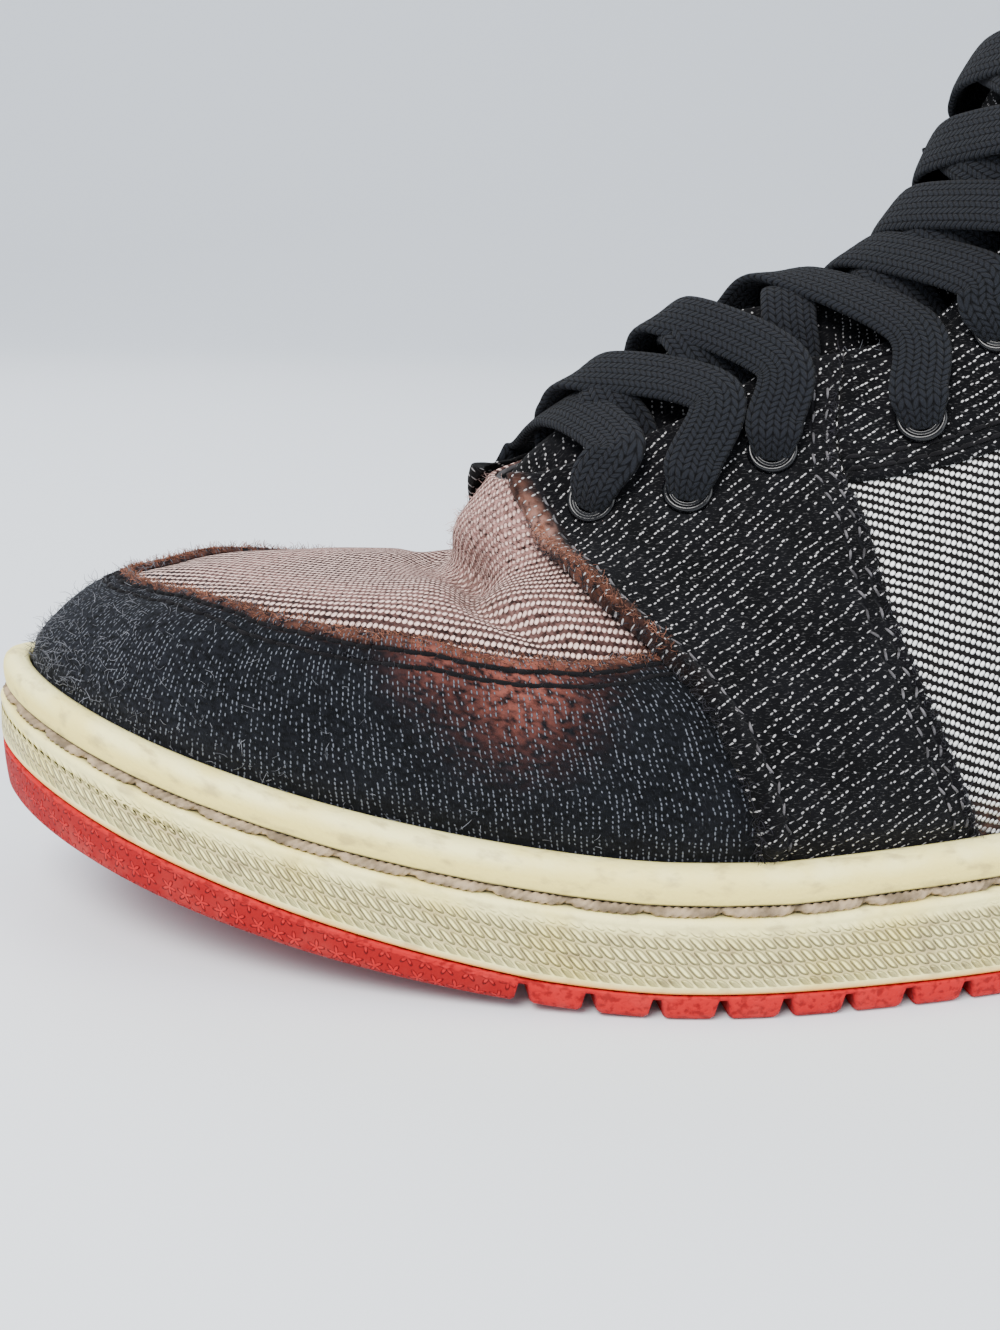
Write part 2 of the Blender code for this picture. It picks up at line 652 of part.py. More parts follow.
def build_tongue() -> bpy.types.Object:
    """Padded tongue under the laces, thinning to its sewn front end."""
    net = tongue_rungs()
    across = np.array([0, 1, 2, 2.35, 2.7, 3, 3.3, 3.65, 4, 5, 6])
    along = np.arange(len(net))
    grid = np.stack([along_rows(net[row], across) for row in along])
    run = np.gradient(grid, axis=0)
    width = np.gradient(grid, axis=1)
    normal = np.cross(width, run)
    normal /= np.linalg.norm(normal, axis=2, keepdims=True)
    if normal[len(along) // 2, 5, 2] < 0:
        normal = -normal
    edge = 1 - 0.55 * np.abs(across / 3 - 1) ** 3
    pad = np.interp(along, [0, 3, 8, len(along) - 1], [0.35, 0.6, 1.0, 1.0])
    thickness = TONGUE_THICKNESS * edge[None, :] * pad[:, None]
    return shell("tongue", grid, grid - normal * thickness[..., None], False, GREY_LINING)


def eyelet_frame(number: int, turn: int) -> tuple[np.ndarray, np.ndarray, np.ndarray]:
    """Centre of an eyelet on its overlay, its outward axis and the direction up the throat."""
    station, level = EYELETS[number]
    station = turn * station
    axis = outward_normal(station, level)
    seat = surface(station, level) + axis * (2 * FIT_GAP + STAY_THICKNESS)
    run = surface(station + turn * 0.05, level) - surface(station, level)
    run -= axis * run.dot(axis)
    return seat, axis, run / np.linalg.norm(run)


def build_eyelet(name: str, number: int, turn: int) -> bpy.types.Object:
    """Rolled metal ring round one lace hole, lying on the stay's own curve."""
    station, level = EYELETS[number]
    station = turn * station
    _, axis, run = eyelet_frame(number, turn)
    side = np.cross(axis, run)
    step = 0.05
    along = (surface(station + step, level) - surface(station - step, level)) / (2 * step)
    rise = (surface(station, level + step) - surface(station, level - step)) / (2 * step)
    shares = np.linalg.pinv(np.column_stack([along, rise]))
    middle = (EYELET_OUTER + EYELET_BORE) / 4
    half_band = (EYELET_OUTER - EYELET_BORE) / 4
    section = [(-1.0, 0.0), (-0.6, 0.9), (0.5, 0.8), (1.0, 0.0)]
    turns = 8
    points = []
    for angle in np.arange(turns) * 2 * math.pi / turns:
        spoke = run * math.cos(angle) + side * math.sin(angle)
        for across, up in section:
            reach = shares @ (spoke * (middle + half_band * across))
            lift = 3 * FIT_GAP + STAY_THICKNESS + EYELET_HEIGHT * up
            points.append(offset_surface(station + reach[0], level + reach[1], lift))
    count = len(section)
    faces = []
    for number in range(turns):
        after = (number + 1) % turns * count
        for corner in range(count):
            here = number * count + corner
            beside = number * count + (corner + 1) % count
            faces.append((here, beside, after + (corner + 1) % count, after + corner))
    return mesh_object(name, np.array(points), faces, BLACK_METAL)


def throat_middle(number: float, clearance: float) -> tuple[np.ndarray, np.ndarray]:
    """Point above the tongue's middle between two eyelets, and the direction up the throat."""
    station = np.interp(number, np.arange(len(EYELETS)), EYELETS[:, 0])
    ridge = tongue_rungs()[:, 3]
    step = np.interp(station, TONGUE_STEPS, np.arange(len(TONGUE_STEPS)))
    place = along_rows(ridge, np.array([step - 0.3, step, step + 0.3]))
    ahead = place[2] - place[0]
    ahead /= np.linalg.norm(ahead)
    forward = np.array([-ahead[2], 0.0, ahead[0]])
    return place[1] + forward * clearance, ahead


def over_edge(number: int, turn: int, lean: float) -> np.ndarray:
    """Point on the lace where it crosses the stay's edge, a share of the pitch past an eyelet."""
    station = EYELETS[number, 0] + lean * np.gradient(EYELETS[:, 0])[number]
    return offset_surface(turn * station, OVERLAY_TOP, STAY_THICKNESS + 3.9 * MM)


def over_eyelet(number: int, turn: int) -> np.ndarray:
    """Point on the lace just outside an eyelet."""
    seat, axis, _ = eyelet_frame(number, turn)
    return seat + axis * (EYELET_HEIGHT + 3.4 * MM)


def lace_strap(name: str, path: list[np.ndarray], ahead: np.ndarray) -> bpy.types.Object:
    """Flat strap along a smooth path, its width turned up the throat."""
    line = np.stack(path)
    at = np.arange(0, len(path) - 1.2, 0.5)
    at = np.append(at, len(path) - 1.0)
    centre = along_rows(line, at)
    tangent = np.gradient(centre, axis=0)
    tangent /= np.linalg.norm(tangent, axis=1, keepdims=True)
    wide = ahead[None, :] - tangent * (tangent @ ahead)[:, None]
    wide /= np.linalg.norm(wide, axis=1, keepdims=True)
    thick = np.cross(tangent, wide)
    corners = [(-1, -1), (1, -1), (1, 1), (-1, 1)]
    loops = [
        centre + wide * a * LACE_WIDTH / 2 + thick * b * LACE_THICKNESS / 2 for a, b in corners
    ]
    points = np.stack(loops, axis=1)
    count = len(corners)
    faces = []
    for step in range(len(centre) - 1):
        for corner in range(count):
            after = (corner + 1) % count
            low = step * count
            faces.append((low + corner, low + after, low + count + after, low + count + corner))
    faces.append(tuple(range(count)))
    last = (len(centre) - 1) * count
    faces.append(tuple(range(last, last + count)))
    return mesh_object(name, points.reshape(-1, 3), faces, LACE_BLACK)


def build_laces() -> bpy.types.Object:
    """The straight first bar and the crossings above it, joined into one solid.

    Each crossing strap comes up from inside one edge of the throat and goes over the other edge
    to the next eyelet. The straps that end on the outer side lie on top, as in the photograph.
    """
    under = LACE_THICKNESS / 2 + 1.2 * MM
    over = under + 0.8 * LACE_THICKNESS
    middle, ahead = throat_middle(0, under)
    ends = [(over_eyelet(0, turn), over_edge(0, turn, OVER_LEAN)) for turn in (1, -1)]
    path = [*ends[0], middle, *ends[1][::-1]]
    laces = lace_strap("laces", path, ahead)
    straps = []
    for number in range(len(EYELETS) - 1):
        for turn, clearance in ((-1, under), (1, over)):
            middle, ahead = throat_middle(number + 0.5, clearance)
            start = over_edge(number, -turn, UNDER_LEAN)
            start += (middle - start) * STRAP_START
            edge = over_edge(number + 1, turn, OVER_LEAN)
            path = [start, middle, edge, over_eyelet(number + 1, turn)]
            strap = lace_strap(f"strap_{number + 1}_{turn}", path, ahead)
            modifier = laces.modifiers.new(strap.name, "BOOLEAN")
            modifier.operation = "UNION"
            modifier.solver = "MANIFOLD"
            modifier.object = strap
            straps.append(strap)
    settle(laces)
    for strap in straps:
        bpy.data.objects.remove(strap, do_unlink=True)
    return laces


def main() -> None:
    """Builds every node of the shoe."""
    clear_scene()
    build_outsole()
    build_midsole()
    build_insole()
    build_upper()
    build_tongue()
    build_toe_guard()
    build_stay("front_stay_outer", 1)
    build_stay("front_stay_inner", -1)
    build_ankle_panel("ankle_panel_outer", 1)
    build_ankle_panel("ankle_panel_inner", -1)
    build_heel_counter()
    for number in range(len(EYELETS)):
        build_eyelet(f"eyelet_outer_{number + 1}", number, 1)
        build_eyelet(f"eyelet_inner_{number + 1}", number, -1)
    build_laces()


main()
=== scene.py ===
"""Looks of a worn denim high-top for the left foot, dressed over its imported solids.

Lengths are metres, measured from the toe tip while a piece is worked out and then moved to the
part's own origin. A place on the upper is a station round the shoe (0 at the toe tip, 11 at the
heel, negative on the inner side) and a level up its side (0 at the sole's lip, 8 at the throat).
"""

from __future__ import annotations

import logging
import math
from collections.abc import Callable, Sequence
from dataclasses import dataclass, field
from enum import Enum

import bmesh
import bpy
import numpy as np
from mathutils import Matrix


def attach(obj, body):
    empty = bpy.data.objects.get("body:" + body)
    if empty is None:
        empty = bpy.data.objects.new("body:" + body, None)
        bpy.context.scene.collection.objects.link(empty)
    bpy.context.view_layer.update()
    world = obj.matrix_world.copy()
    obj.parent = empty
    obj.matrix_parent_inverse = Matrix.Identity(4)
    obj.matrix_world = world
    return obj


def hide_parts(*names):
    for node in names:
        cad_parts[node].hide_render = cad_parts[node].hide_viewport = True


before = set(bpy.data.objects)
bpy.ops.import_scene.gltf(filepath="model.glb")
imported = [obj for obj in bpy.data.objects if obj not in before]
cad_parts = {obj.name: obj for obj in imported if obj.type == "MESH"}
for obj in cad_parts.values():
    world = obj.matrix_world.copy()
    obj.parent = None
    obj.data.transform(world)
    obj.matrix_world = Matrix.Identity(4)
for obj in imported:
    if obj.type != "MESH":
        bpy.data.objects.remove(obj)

LOG = logging.getLogger("high_top")
MM = 0.001
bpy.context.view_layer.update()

Array = np.ndarray
Colour = tuple[float, float, float]
Place = tuple[float, float]
Socket = bpy.types.NodeSocket
Value = Socket | float
Masks = Callable[[Array, dict[str, Array]], dict[str, Array]]
MeshPart = tuple[Array, list[Array]]


def tone(red: int, green: int, blue: int) -> Colour:
    """Linear colour from the screen values 0 to 255 that a colour reads as."""
    share = np.array([red, green, blue]) / 255.0
    low = share / 12.92
    high = ((share + 0.055) / 1.055) ** 2.4
    return tuple(float(c) for c in np.where(share <= 0.04045, low, high))


def blend(before: Array, start: Array, end: Array, after: Array, part: Array) -> Array:
    """Cubic through four neighbours, at a share between the middle two."""
    linear = (end - before) * part
    square = (2 * before - 5 * start + 4 * end - after) * part**2
    cube = (3 * start - before - 3 * end + after) * part**3
    return 0.5 * (2 * start + linear + square + cube)


def along_loop(points: Array, at: Array) -> Array:
    """Reads a closed smooth curve through the rows of a table at fractional row numbers."""
    at = np.asarray(at, float)
    first = np.floor(at).astype(int)
    part = (at - first).reshape(at.shape + (1,) * (points.ndim - 1))
    rows = [points[(first + step) % len(points)] for step in (-1, 0, 1, 2)]
    return blend(*rows, part)


def along_rows(points: Array, at: Array) -> Array:
    """Reads an open smooth curve through the rows of a table at fractional row numbers."""
    at = np.asarray(at, float)
    ends = np.concatenate([2 * points[:1] - points[1:2], points, 2 * points[-1:] - points[-2:-1]])
    first = np.clip(np.floor(at).astype(int), 0, len(points) - 2)
    part = (at - first).reshape(at.shape + (1,) * (points.ndim - 1))
    rows = [ends[first + step] for step in (0, 1, 2, 3)]
    return blend(*rows, part)


def unit(vectors: Array) -> Array:
    """Vectors scaled to length one along the last axis."""
    return vectors / np.maximum(np.linalg.norm(vectors, axis=-1, keepdims=True), 1e-12)


def bell(distance: Array, width: float) -> Array:
    """Soft bump: e to the minus square of distance over width."""
    return np.exp(-((distance / width) ** 2))


def smooth(value: Array, low: float, high: float) -> Array:
    """Smooth step from 0 at low to 1 at high: three t squared minus two t cubed."""
    share = np.clip((value - low) / (high - low), 0, 1)
    return share * share * (3 - 2 * share)


# Sole outline from above, from the toe tip round the outer side to the heel and back along the
# inner side: share of the length from the toe, share of the ball's half width.
OUTLINE = np.array([
    (0.000, 0.27), (0.024, -0.09), (0.084, -0.43), (0.173, -0.69), (0.287, -0.88), (0.400, -1.00),
    (0.510, -0.97), (0.620, -0.87), (0.750, -0.79), (0.880, -0.74), (0.965, -0.52), (1.000, 0.00),
    (0.965, 0.50), (0.880, 0.72), (0.750, 0.70), (0.610, 0.64), (0.490, 0.70), (0.380, 0.85),
    (0.275, 0.97), (0.170, 0.955), (0.085, 0.82), (0.025, 0.56),
])

# Edge of the throat and collar at the same stations: share of the length from the toe, share of
# the ball's half width, share of the collar's height.
THROAT = np.array([
    (0.300, 0.05, 0.494), (0.310, -0.05, 0.500), (0.325, -0.13, 0.511), (0.353, -0.19, 0.535),
    (0.403, -0.20, 0.573), (0.456, -0.21, 0.628), (0.527, -0.25, 0.661), (0.573, -0.31, 0.760),
    (0.640, -0.42, 1.000), (0.793, -0.61, 0.930), (0.910, -0.46, 0.950), (0.960, 0.00, 0.985),
    (0.910, 0.46, 0.950), (0.790, 0.61, 0.930), (0.634, 0.42, 1.000), (0.560, 0.33, 0.756),
    (0.503, 0.29, 0.656), (0.430, 0.26, 0.609), (0.370, 0.26, 0.545), (0.323, 0.25, 0.510),
    (0.303, 0.22, 0.498), (0.297, 0.16, 0.494),
])

# How far each of nine levels lies from the sole to the throat edge, in plan and in height, from
# the toe (first row) to the heel (last row). A negative share bulges out over the sole.
ACROSS = np.array([
    (0, 0.05, 0.16, 0.32, 0.52, 0.740, 0.885, 0.940, 1),
    (0, 0.05, 0.15, 0.30, 0.50, 0.730, 0.875, 0.935, 1),
    (0, 0.03, 0.10, 0.22, 0.42, 0.660, 0.830, 0.920, 1),
    (0, -0.01, 0.02, 0.09, 0.25, 0.480, 0.720, 0.870, 1),
    (0, -0.03, -0.02, 0.05, 0.17, 0.340, 0.540, 0.770, 1),
    (0, -0.02, 0.02, 0.10, 0.22, 0.370, 0.550, 0.770, 1),
    (0, -0.02, 0.02, 0.09, 0.19, 0.320, 0.490, 0.720, 1),
    (0, 0.00, 0.03, 0.09, 0.18, 0.310, 0.490, 0.730, 1),
    (0, 0.03, 0.09, 0.19, 0.33, 0.500, 0.680, 0.850, 1),
    (0, 0.02, 0.08, 0.20, 0.36, 0.540, 0.720, 0.880, 1),
    (0, 0.02, 0.08, 0.20, 0.38, 0.600, 0.800, 0.930, 1),
    (0, 0.02, 0.08, 0.20, 0.38, 0.600, 0.800, 0.930, 1),
])
UP = np.array([
    (0, 0.180, 0.39, 0.475, 0.495, 0.500, 0.470, 0.750, 1),
    (0, 0.180, 0.39, 0.485, 0.515, 0.520, 0.490, 0.760, 1),
    (0, 0.220, 0.42, 0.515, 0.550, 0.565, 0.550, 0.770, 1),
    (0, 0.170, 0.34, 0.470, 0.545, 0.575, 0.600, 0.760, 1),
    (0, 0.140, 0.28, 0.385, 0.475, 0.550, 0.640, 0.790, 1),
    (0, 0.115, 0.23, 0.325, 0.420, 0.520, 0.625, 0.780, 1),
    (0, 0.120, 0.24, 0.345, 0.450, 0.560, 0.680, 0.830, 1),
    (0, 0.125, 0.25, 0.370, 0.490, 0.610, 0.730, 0.860, 1),
    (0, 0.125, 0.25, 0.375, 0.500, 0.625, 0.750, 0.875, 1),
    (0, 0.125, 0.25, 0.375, 0.500, 0.625, 0.750, 0.875, 1),
    (0, 0.125, 0.25, 0.375, 0.500, 0.625, 0.750, 0.875, 1),
    (0, 0.125, 0.25, 0.375, 0.500, 0.625, 0.750, 0.875, 1),
])

# The heel cup swells above the lip and draws in above the ankle bone, by these lengths a level.
HEEL_SWELL = np.array([0, 2.0, 3.0, 2.5, 0.5, -2.0, -3.0, -2.0, 0]) * MM
HEEL_SHARE = np.array([0, 0, 0, 0, 0, 0, 0, 0.1, 0.3, 0.6, 0.9, 1.0])

# Station and level of the eyelets on the outer side, from the toe up. The inner side mirrors them.
EYELETS = np.array([
    (3.24, 7.28), (4.32, 6.95), (4.97, 7.16), (6.02, 6.94),
    (6.75, 7.30), (7.16, 7.35), (7.47, 7.40), (7.78, 7.40),
])

TONGUE_STEPS = np.array([1.2, 1.9, 2.6, 3.4, 4.2, 5.0, 5.7, 6.3, 6.8, 7.2, 7.5, 7.8])
TONGUE_ARCH = np.array([1, 3, 5, 8, 11, 12, 11, 10, 9, 8, 7, 6]) * MM

# Edges of the overlays: the station at which each one crosses level 0, 1, 2 and so on.
STAY_FRONT = np.array([5.14, 5.10, 4.97, 4.81, 4.52, 4.11, 3.52, 2.40, 0.75])
STAY_REAR = np.array([6.35, 6.22, 6.08, 5.96, 5.84, 5.74, 5.64, 5.44, 5.44])
COUNTER_FRONT = np.array([8.75, 8.85, 9.05, 9.35, 9.80, 10.30, 10.60, 10.80, 11.00])

STATIONS = len(OUTLINE)
HEEL = STATIONS // 2
TOP_LEVEL = UP.shape[1] - 1


@dataclass(frozen=True)
class Crease:
    """A soft trough along a line of places on the upper, or a ridge where its depth is negative."""

    path: tuple[Place, ...]
    width: float
    depth: float


# The deep fold across the vamp and the bulge behind it, the guard's dents, the waves in the stays and
# the wrinkles at the ankle. The inner side has its own set.
CREASES = (
    Crease(((-3.7, 5.2), (-2.9, 5.8), (-0.8, 6.28), (1.2, 6.1), (2.7, 5.5), (3.5, 4.8), (3.85, 4.35)),
           3.4 * MM, 2.3 * MM),
    Crease(((2.9, 5.3), (3.55, 4.7), (3.9, 4.25), (4.1, 3.95)), 2.2 * MM, 1.3 * MM),
    Crease(((-2.6, 6.5), (0.4, 7.05), (2.0, 6.8), (3.2, 5.9), (3.9, 5.0)), 6.5 * MM, -1.3 * MM),
    Crease(((-2.0, 5.2), (0.5, 5.6), (2.0, 5.2), (2.9, 4.6)), 6.0 * MM, -0.7 * MM),
    Crease(((3.3, 3.1), (3.9, 2.9), (4.4, 2.6)), 8.0 * MM, -0.8 * MM),
    Crease(((3.9, 2.0), (4.5, 1.6), (4.9, 1.5)), 6.0 * MM, 0.6 * MM),
    Crease(((4.6, 5.6), (5.0, 4.2), (5.2, 2.6)), 6.0 * MM, 0.5 * MM),
    Crease(((5.3, 5.2), (5.6, 3.6), (5.7, 2.2)), 7.0 * MM, -0.5 * MM),
    Crease(((6.1, 6.3), (7.0, 6.0), (8.2, 6.1)), 6.0 * MM, 1.3 * MM),
    Crease(((6.6, 4.9), (7.7, 4.7), (8.8, 5.2)), 7.0 * MM, 1.0 * MM),
    Crease(((6.4, 5.6), (7.6, 5.4), (8.8, 5.8)), 6.0 * MM, -0.8 * MM),
    Crease(((-3.1, 5.3), (-3.7, 4.6), (-4.2, 3.8)), 3.0 * MM, 1.5 * MM),
    Crease(((-4.8, 5.4), (-5.1, 4.0), (-5.3, 2.6)), 6.0 * MM, 0.6 * MM),
    Crease(((-6.2, 6.2), (-7.1, 5.9), (-8.4, 6.2)), 6.5 * MM, 1.2 * MM),
    Crease(((-6.6, 5.0), (-7.6, 4.8), (-8.6, 5.1)), 7.0 * MM, 0.9 * MM),
    Crease(((9.6, 6.3), (11.0, 6.1), (12.4, 6.3)), 6.0 * MM, 0.9 * MM),
)


@dataclass
class Last:
    """The foot's form: the sole's outline and heights, and the upper's face over them."""

    length: float = 300 * MM
    half_width: float = 54 * MM
    toe_spring: float = 22 * MM
    spring_start: float = 112 * MM
    spring_power: float = 1.66
    outsole_edge: float = 4.7 * MM
    outsole_toe_extra: float = 4.5 * MM
    outsole_toe_start: float = 90 * MM
    groove_rise: float = 18.8 * MM
    lip_rise: float = 25.6 * MM
    heel_lift: float = 8.4 * MM
    heel_lift_start: float = 130 * MM
    lip_width: float = 6.5 * MM
    cup_floor: float = 11.5 * MM
    collar_height: float = 160 * MM
    wall: float = 2.2 * MM
    collar_padding: float = 3.6 * MM
    net: Array = field(init=False)
    middle: Array = field(init=False)

    def __post_init__(self) -> None:
        """Works out the upper's control points and the middle of the sole."""
        plan = OUTLINE * [self.length, self.half_width]
        loop = along_loop(plan, np.linspace(0, STATIONS, 2000))
        mid_y = (loop[:, 1].min() + loop[:, 1].max()) / 2
        self.middle = np.array([self.length / 2, mid_y, 0.0])
        self.net = self._section_net()

    def outline(self, at: Array, inset: float) -> Array:
        """Sole outline at fractional stations, moved inwards by a length."""
        plan = OUTLINE * [self.length, self.half_width]
        step = 0.001
        run = along_loop(plan, at + step) - along_loop(plan, at - step)
        inward = unit(np.stack([-run[..., 1], run[..., 0]], axis=-1))
        return along_loop(plan, at) + inward * inset

    def spring(self, x: Array) -> Array:
        """Height of the sole's underside: the toe spring times a power of the way to the toe."""
        return self.toe_spring * np.clip(1 - x / self.spring_start, 0, 1) ** self.spring_power

    def heel_rise(self, x: Array) -> Array:
        """How far the sole's upper lines climb towards the heel, in a straight line."""
        way = (x - self.heel_lift_start) / (self.length - self.heel_lift_start)
        return self.heel_lift * np.clip(way, 0, 1)

    def border(self, x: Array) -> Array:
        """Height where the red outsole meets the cream midsole."""
        extra = self.outsole_toe_extra * np.clip(1 - x / self.outsole_toe_start, 0, 1)
        return self.spring(x) + self.outsole_edge + extra

    def groove(self, x: Array) -> Array:
        """Height of the stitched groove round the midsole."""
        return self.spring(x) + self.groove_rise + self.heel_rise(x)

    def lip(self, x: Array) -> Array:
        """Height of the midsole's upper lip, where the fabric starts."""
        return self.spring(x) + self.lip_rise + self.heel_rise(x)

    def floor(self, x: Array) -> Array:
        """Height of the cup's floor, under the insole."""
        return self.spring(x) + self.cup_floor + self.heel_rise(x)

    def _section_net(self) -> Array:
        """Control points of the upper: a row for each station and a column for each level."""
        at = np.arange(STATIONS)
        side = np.minimum(at, STATIONS - at)
        foot = self.outline(at.astype(float), self.lip_width)
        base = np.column_stack([foot, self.lip(foot[:, 0])])
        edge = THROAT * [self.length, self.half_width, self.collar_height]
        outward = (self.outline(at.astype(float), self.lip_width - MM) - foot) / MM
        reach = edge - base
        net = np.empty((STATIONS, TOP_LEVEL + 1, 3))
        net[..., :2] = base[:, None, :2] + reach[:, None, :2] * ACROSS[side][..., None]
        net[..., 2] = base[:, None, 2] + reach[:, None, 2] * UP[side]
        swell = HEEL_SHARE[side][:, None] * HEEL_SWELL[None, :]
        net[..., :2] += outward[:, None, :] * swell[..., None]
        return net

    def surface(self, station: Array, level: Array) -> Array:
        """Outer face of the solid upper: a smooth blend round the stations, then up the levels."""
        station, level = np.broadcast_arrays(np.asarray(station, float), np.asarray(level, float))
        rows = along_loop(self.net, station.ravel())
        first_row = 2 * rows[:, :1] - rows[:, 1:2]
        last_row = 2 * rows[:, -1:] - rows[:, -2:-1]
        ends = np.concatenate([first_row, rows, last_row], axis=1)
        height = level.ravel()
        first = np.clip(np.floor(height).astype(int), 0, TOP_LEVEL - 1)
        part = np.clip(height - first, 0, None)[:, None]
        pick = np.arange(len(height))
        found = blend(*[ends[pick, first + step] for step in (0, 1, 2, 3)], part)
        x = found[:, 0]
        found[:, 2] += np.minimum(height, 0) * (self.lip(x) - self.floor(x) - 0.3 * MM)
        return found.reshape(station.shape + (3,))

    def normal(self, station: Array, level: Array) -> Array:
        """Unit vector out of the upper's face: the cross product of its two directions."""
        step = 0.01
        station, level = np.broadcast_arrays(np.asarray(station, float), np.asarray(level, float))
        middle = np.clip(level, step, TOP_LEVEL - step)
        along = self.surface(station + step, middle) - self.surface(station - step, middle)
        rise = unit(self.surface(station, middle + step) - self.surface(station, middle - step))
        skirt = np.clip(-level, 0, 1)[..., None]
        rise = rise * (1 - skirt) + np.array([0.0, 0.0, 1.0]) * skirt
        return unit(np.cross(along, rise))

    def relief(self, points: Array) -> Array:
        """Height of the creases at points: each one a bell of the distance to its own line.

        The bell's height fades to nothing at both ends of the line, as half a sine wave does.
        """
        flat = points.reshape(-1, 3)
        total = np.zeros(len(flat))
        for crease in CREASES:
            nodes = np.array(crease.path)
            count = 10 * (len(nodes) - 1) + 1
            places = along_rows(nodes, np.linspace(0, len(nodes) - 1, count))
            line = self.surface(places[:, 0], places[:, 1])
            fade = np.sin(np.linspace(0.12, math.pi - 0.12, count)) ** 0.6
            near = np.flatnonzero(np.linalg.norm(flat - line.mean(axis=0), axis=1) < 0.11)
            gap = np.linalg.norm(flat[near, None, :] - line[None, :, :], axis=2)
            total[near] -= crease.depth * (bell(gap, crease.width) * fade).max(axis=1)
        return total.reshape(points.shape[:-1])

    def skin(self, station: Array, level: Array, lift: Array | float) -> Array:
        """The creased face of the upper, moved out along its normal by a length."""
        base = self.surface(station, level)
        height = self.relief(base) * np.clip(np.broadcast_to(level, base.shape[:-1]) / 0.8, 0, 1)
        return base + self.normal(station, level) * (height + lift)[..., None]

    def wall_at(self, station: Array, level: Array) -> Array:
        """Wall of the upper: thin fabric, and padding round the collar."""
        collar = np.clip(1.6 - np.abs((station % STATIONS) - HEEL) / 2.2, 0, 1)
        edge = np.clip((level - 5.5) / 1.2, 0, 1) * np.clip((8.35 - level) / 0.6, 0, 1)
        return self.wall + self.collar_padding * collar * edge

    def columns(self, count: int, extra: Array | None = None) -> Array:
        """Shares of the length from toe to heel, close together at both ends as a cosine is."""
        share = (1 - np.cos(np.linspace(0, math.pi, count))) / 2
        return share if extra is None else np.unique(np.concatenate([share, extra]))

    def sides(self, inset: float, share: Array) -> tuple[Array, Array, Array]:
        """Distance from the toe and both sides' y on the outline at an inset.

        Columns keep their own distance from the toe but in the last tenth at each end, where they
        close up to the inset outline's own tips.
        """
        dense = self.outline(np.linspace(0, STATIONS, 3600, endpoint=False), inset)
        dense = np.roll(dense, -int(np.argmin(dense[:, 0])), axis=0)
        heel = int(np.argmax(dense[:, 0]))
        outer = dense[: heel + 1]
        inner = np.concatenate([dense[heel:], dense[:1]])[::-1]
        ends = 0.1 * self.length
        toe_shift = dense[0, 0] * np.clip(1 - share * self.length / ends, 0, 1)
        heel_gap = self.length - dense[heel, 0]
        heel_shift = heel_gap * np.clip(1 - (1 - share) * self.length / ends, 0, 1)
        x = share * self.length + toe_shift - heel_shift
        x = np.clip(x, dense[0, 0], dense[heel, 0])
        outer_y = np.interp(x, outer[:, 0], outer[:, 1])
        inner_y = np.interp(x, inner[:, 0], inner[:, 1])
        return x, outer_y, inner_y

    def ring(self, inset: float, height: Callable[[Array], Array], share: Array) -> Array:
        """Loop round the sole at an inset, from the toe along the outer side and back."""
        x, outer_y, inner_y = self.sides(inset, share)
        loop_x = np.concatenate([x, x[-2:0:-1]])
        loop_y = np.concatenate([outer_y, inner_y[-2:0:-1]])
        return np.column_stack([loop_x, loop_y, height(loop_x)])


LAST = Last()


def grid_quads(rows: int, columns: int, first: int = 0, wrap: bool = False) -> Array:
    """Faces between the rows and columns of a grid of points, closed round the rows if asked."""
    row = np.arange(rows if wrap else rows - 1)[:, None]
    column = np.arange(columns - 1)[None, :]
    here = first + row * columns + column
    after = first + (row + 1) % rows * columns + column
    return np.stack([here, after, after + 1, here + 1], axis=-1).reshape(-1, 4)


@dataclass
class Piece:
    """A mesh in the making: points measured from the toe tip, faces and what they carry."""

    name: str
    points: Array
    faces: list[Array]
    uv: Array | None = None
    values: dict[str, Array] = field(default_factory=dict)
    slots: Array | None = None

    def build(self, materials: Sequence[bpy.types.Material], recalculate: bool = False) -> bpy.types.Object:
        """Makes the object in the part's own frame.

        Args:
            materials: One material for each number that slots holds.
            recalculate: Whether to merge doubles and point every face outwards.

        Returns:
            The new object, linked to the scene.
        """
        mesh = bpy.data.meshes.new(self.name)
        world = (self.points.reshape(-1, 3) - LAST.middle).astype(np.float32)
        mesh.from_pydata(world, [], [face for group in self.faces for face in group.tolist()])
        for material in materials:
            mesh.materials.append(material)
        if self.slots is not None:
            mesh.polygons.foreach_set("material_index", self.slots.astype(np.int32))
        if self.uv is not None:
            layer = mesh.uv_layers.new(name="cloth")
            index = np.empty(len(mesh.loops), np.int32)
            mesh.loops.foreach_get("vertex_index", index)
            layer.data.foreach_set("uv", self.uv.reshape(-1, 2)[index].astype(np.float32).ravel())
        for key, value in self.values.items():
            attribute = mesh.attributes.new(key, "FLOAT", "POINT")
            attribute.data.foreach_set("value", np.asarray(value, np.float32).ravel())
        if recalculate:
            body = bmesh.new()
            body.from_mesh(mesh)
            bmesh.ops.remove_doubles(body, verts=body.verts, dist=0.002 * MM)
            bmesh.ops.recalc_face_normals(body, faces=body.faces)
            body.to_mesh(mesh)
            body.free()
        mesh.polygons.foreach_set("use_smooth", np.ones(len(mesh.polygons), bool))
        mesh.update()
        obj = bpy.data.objects.new(self.name, mesh)
        bpy.context.scene.collection.objects.link(obj)
        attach(obj, "root")
        return obj


def joined(name: str, parts: Sequence[MeshPart]) -> Piece:
    """One piece of many loose parts, each given as points and groups of faces."""
    offsets = np.cumsum([0] + [len(points) for points, _ in parts[:-1]])
    faces = [group + offset for (_, groups), offset in zip(parts, offsets) for group in groups]
    return Piece(name, np.concatenate([points for points, _ in parts]), faces)


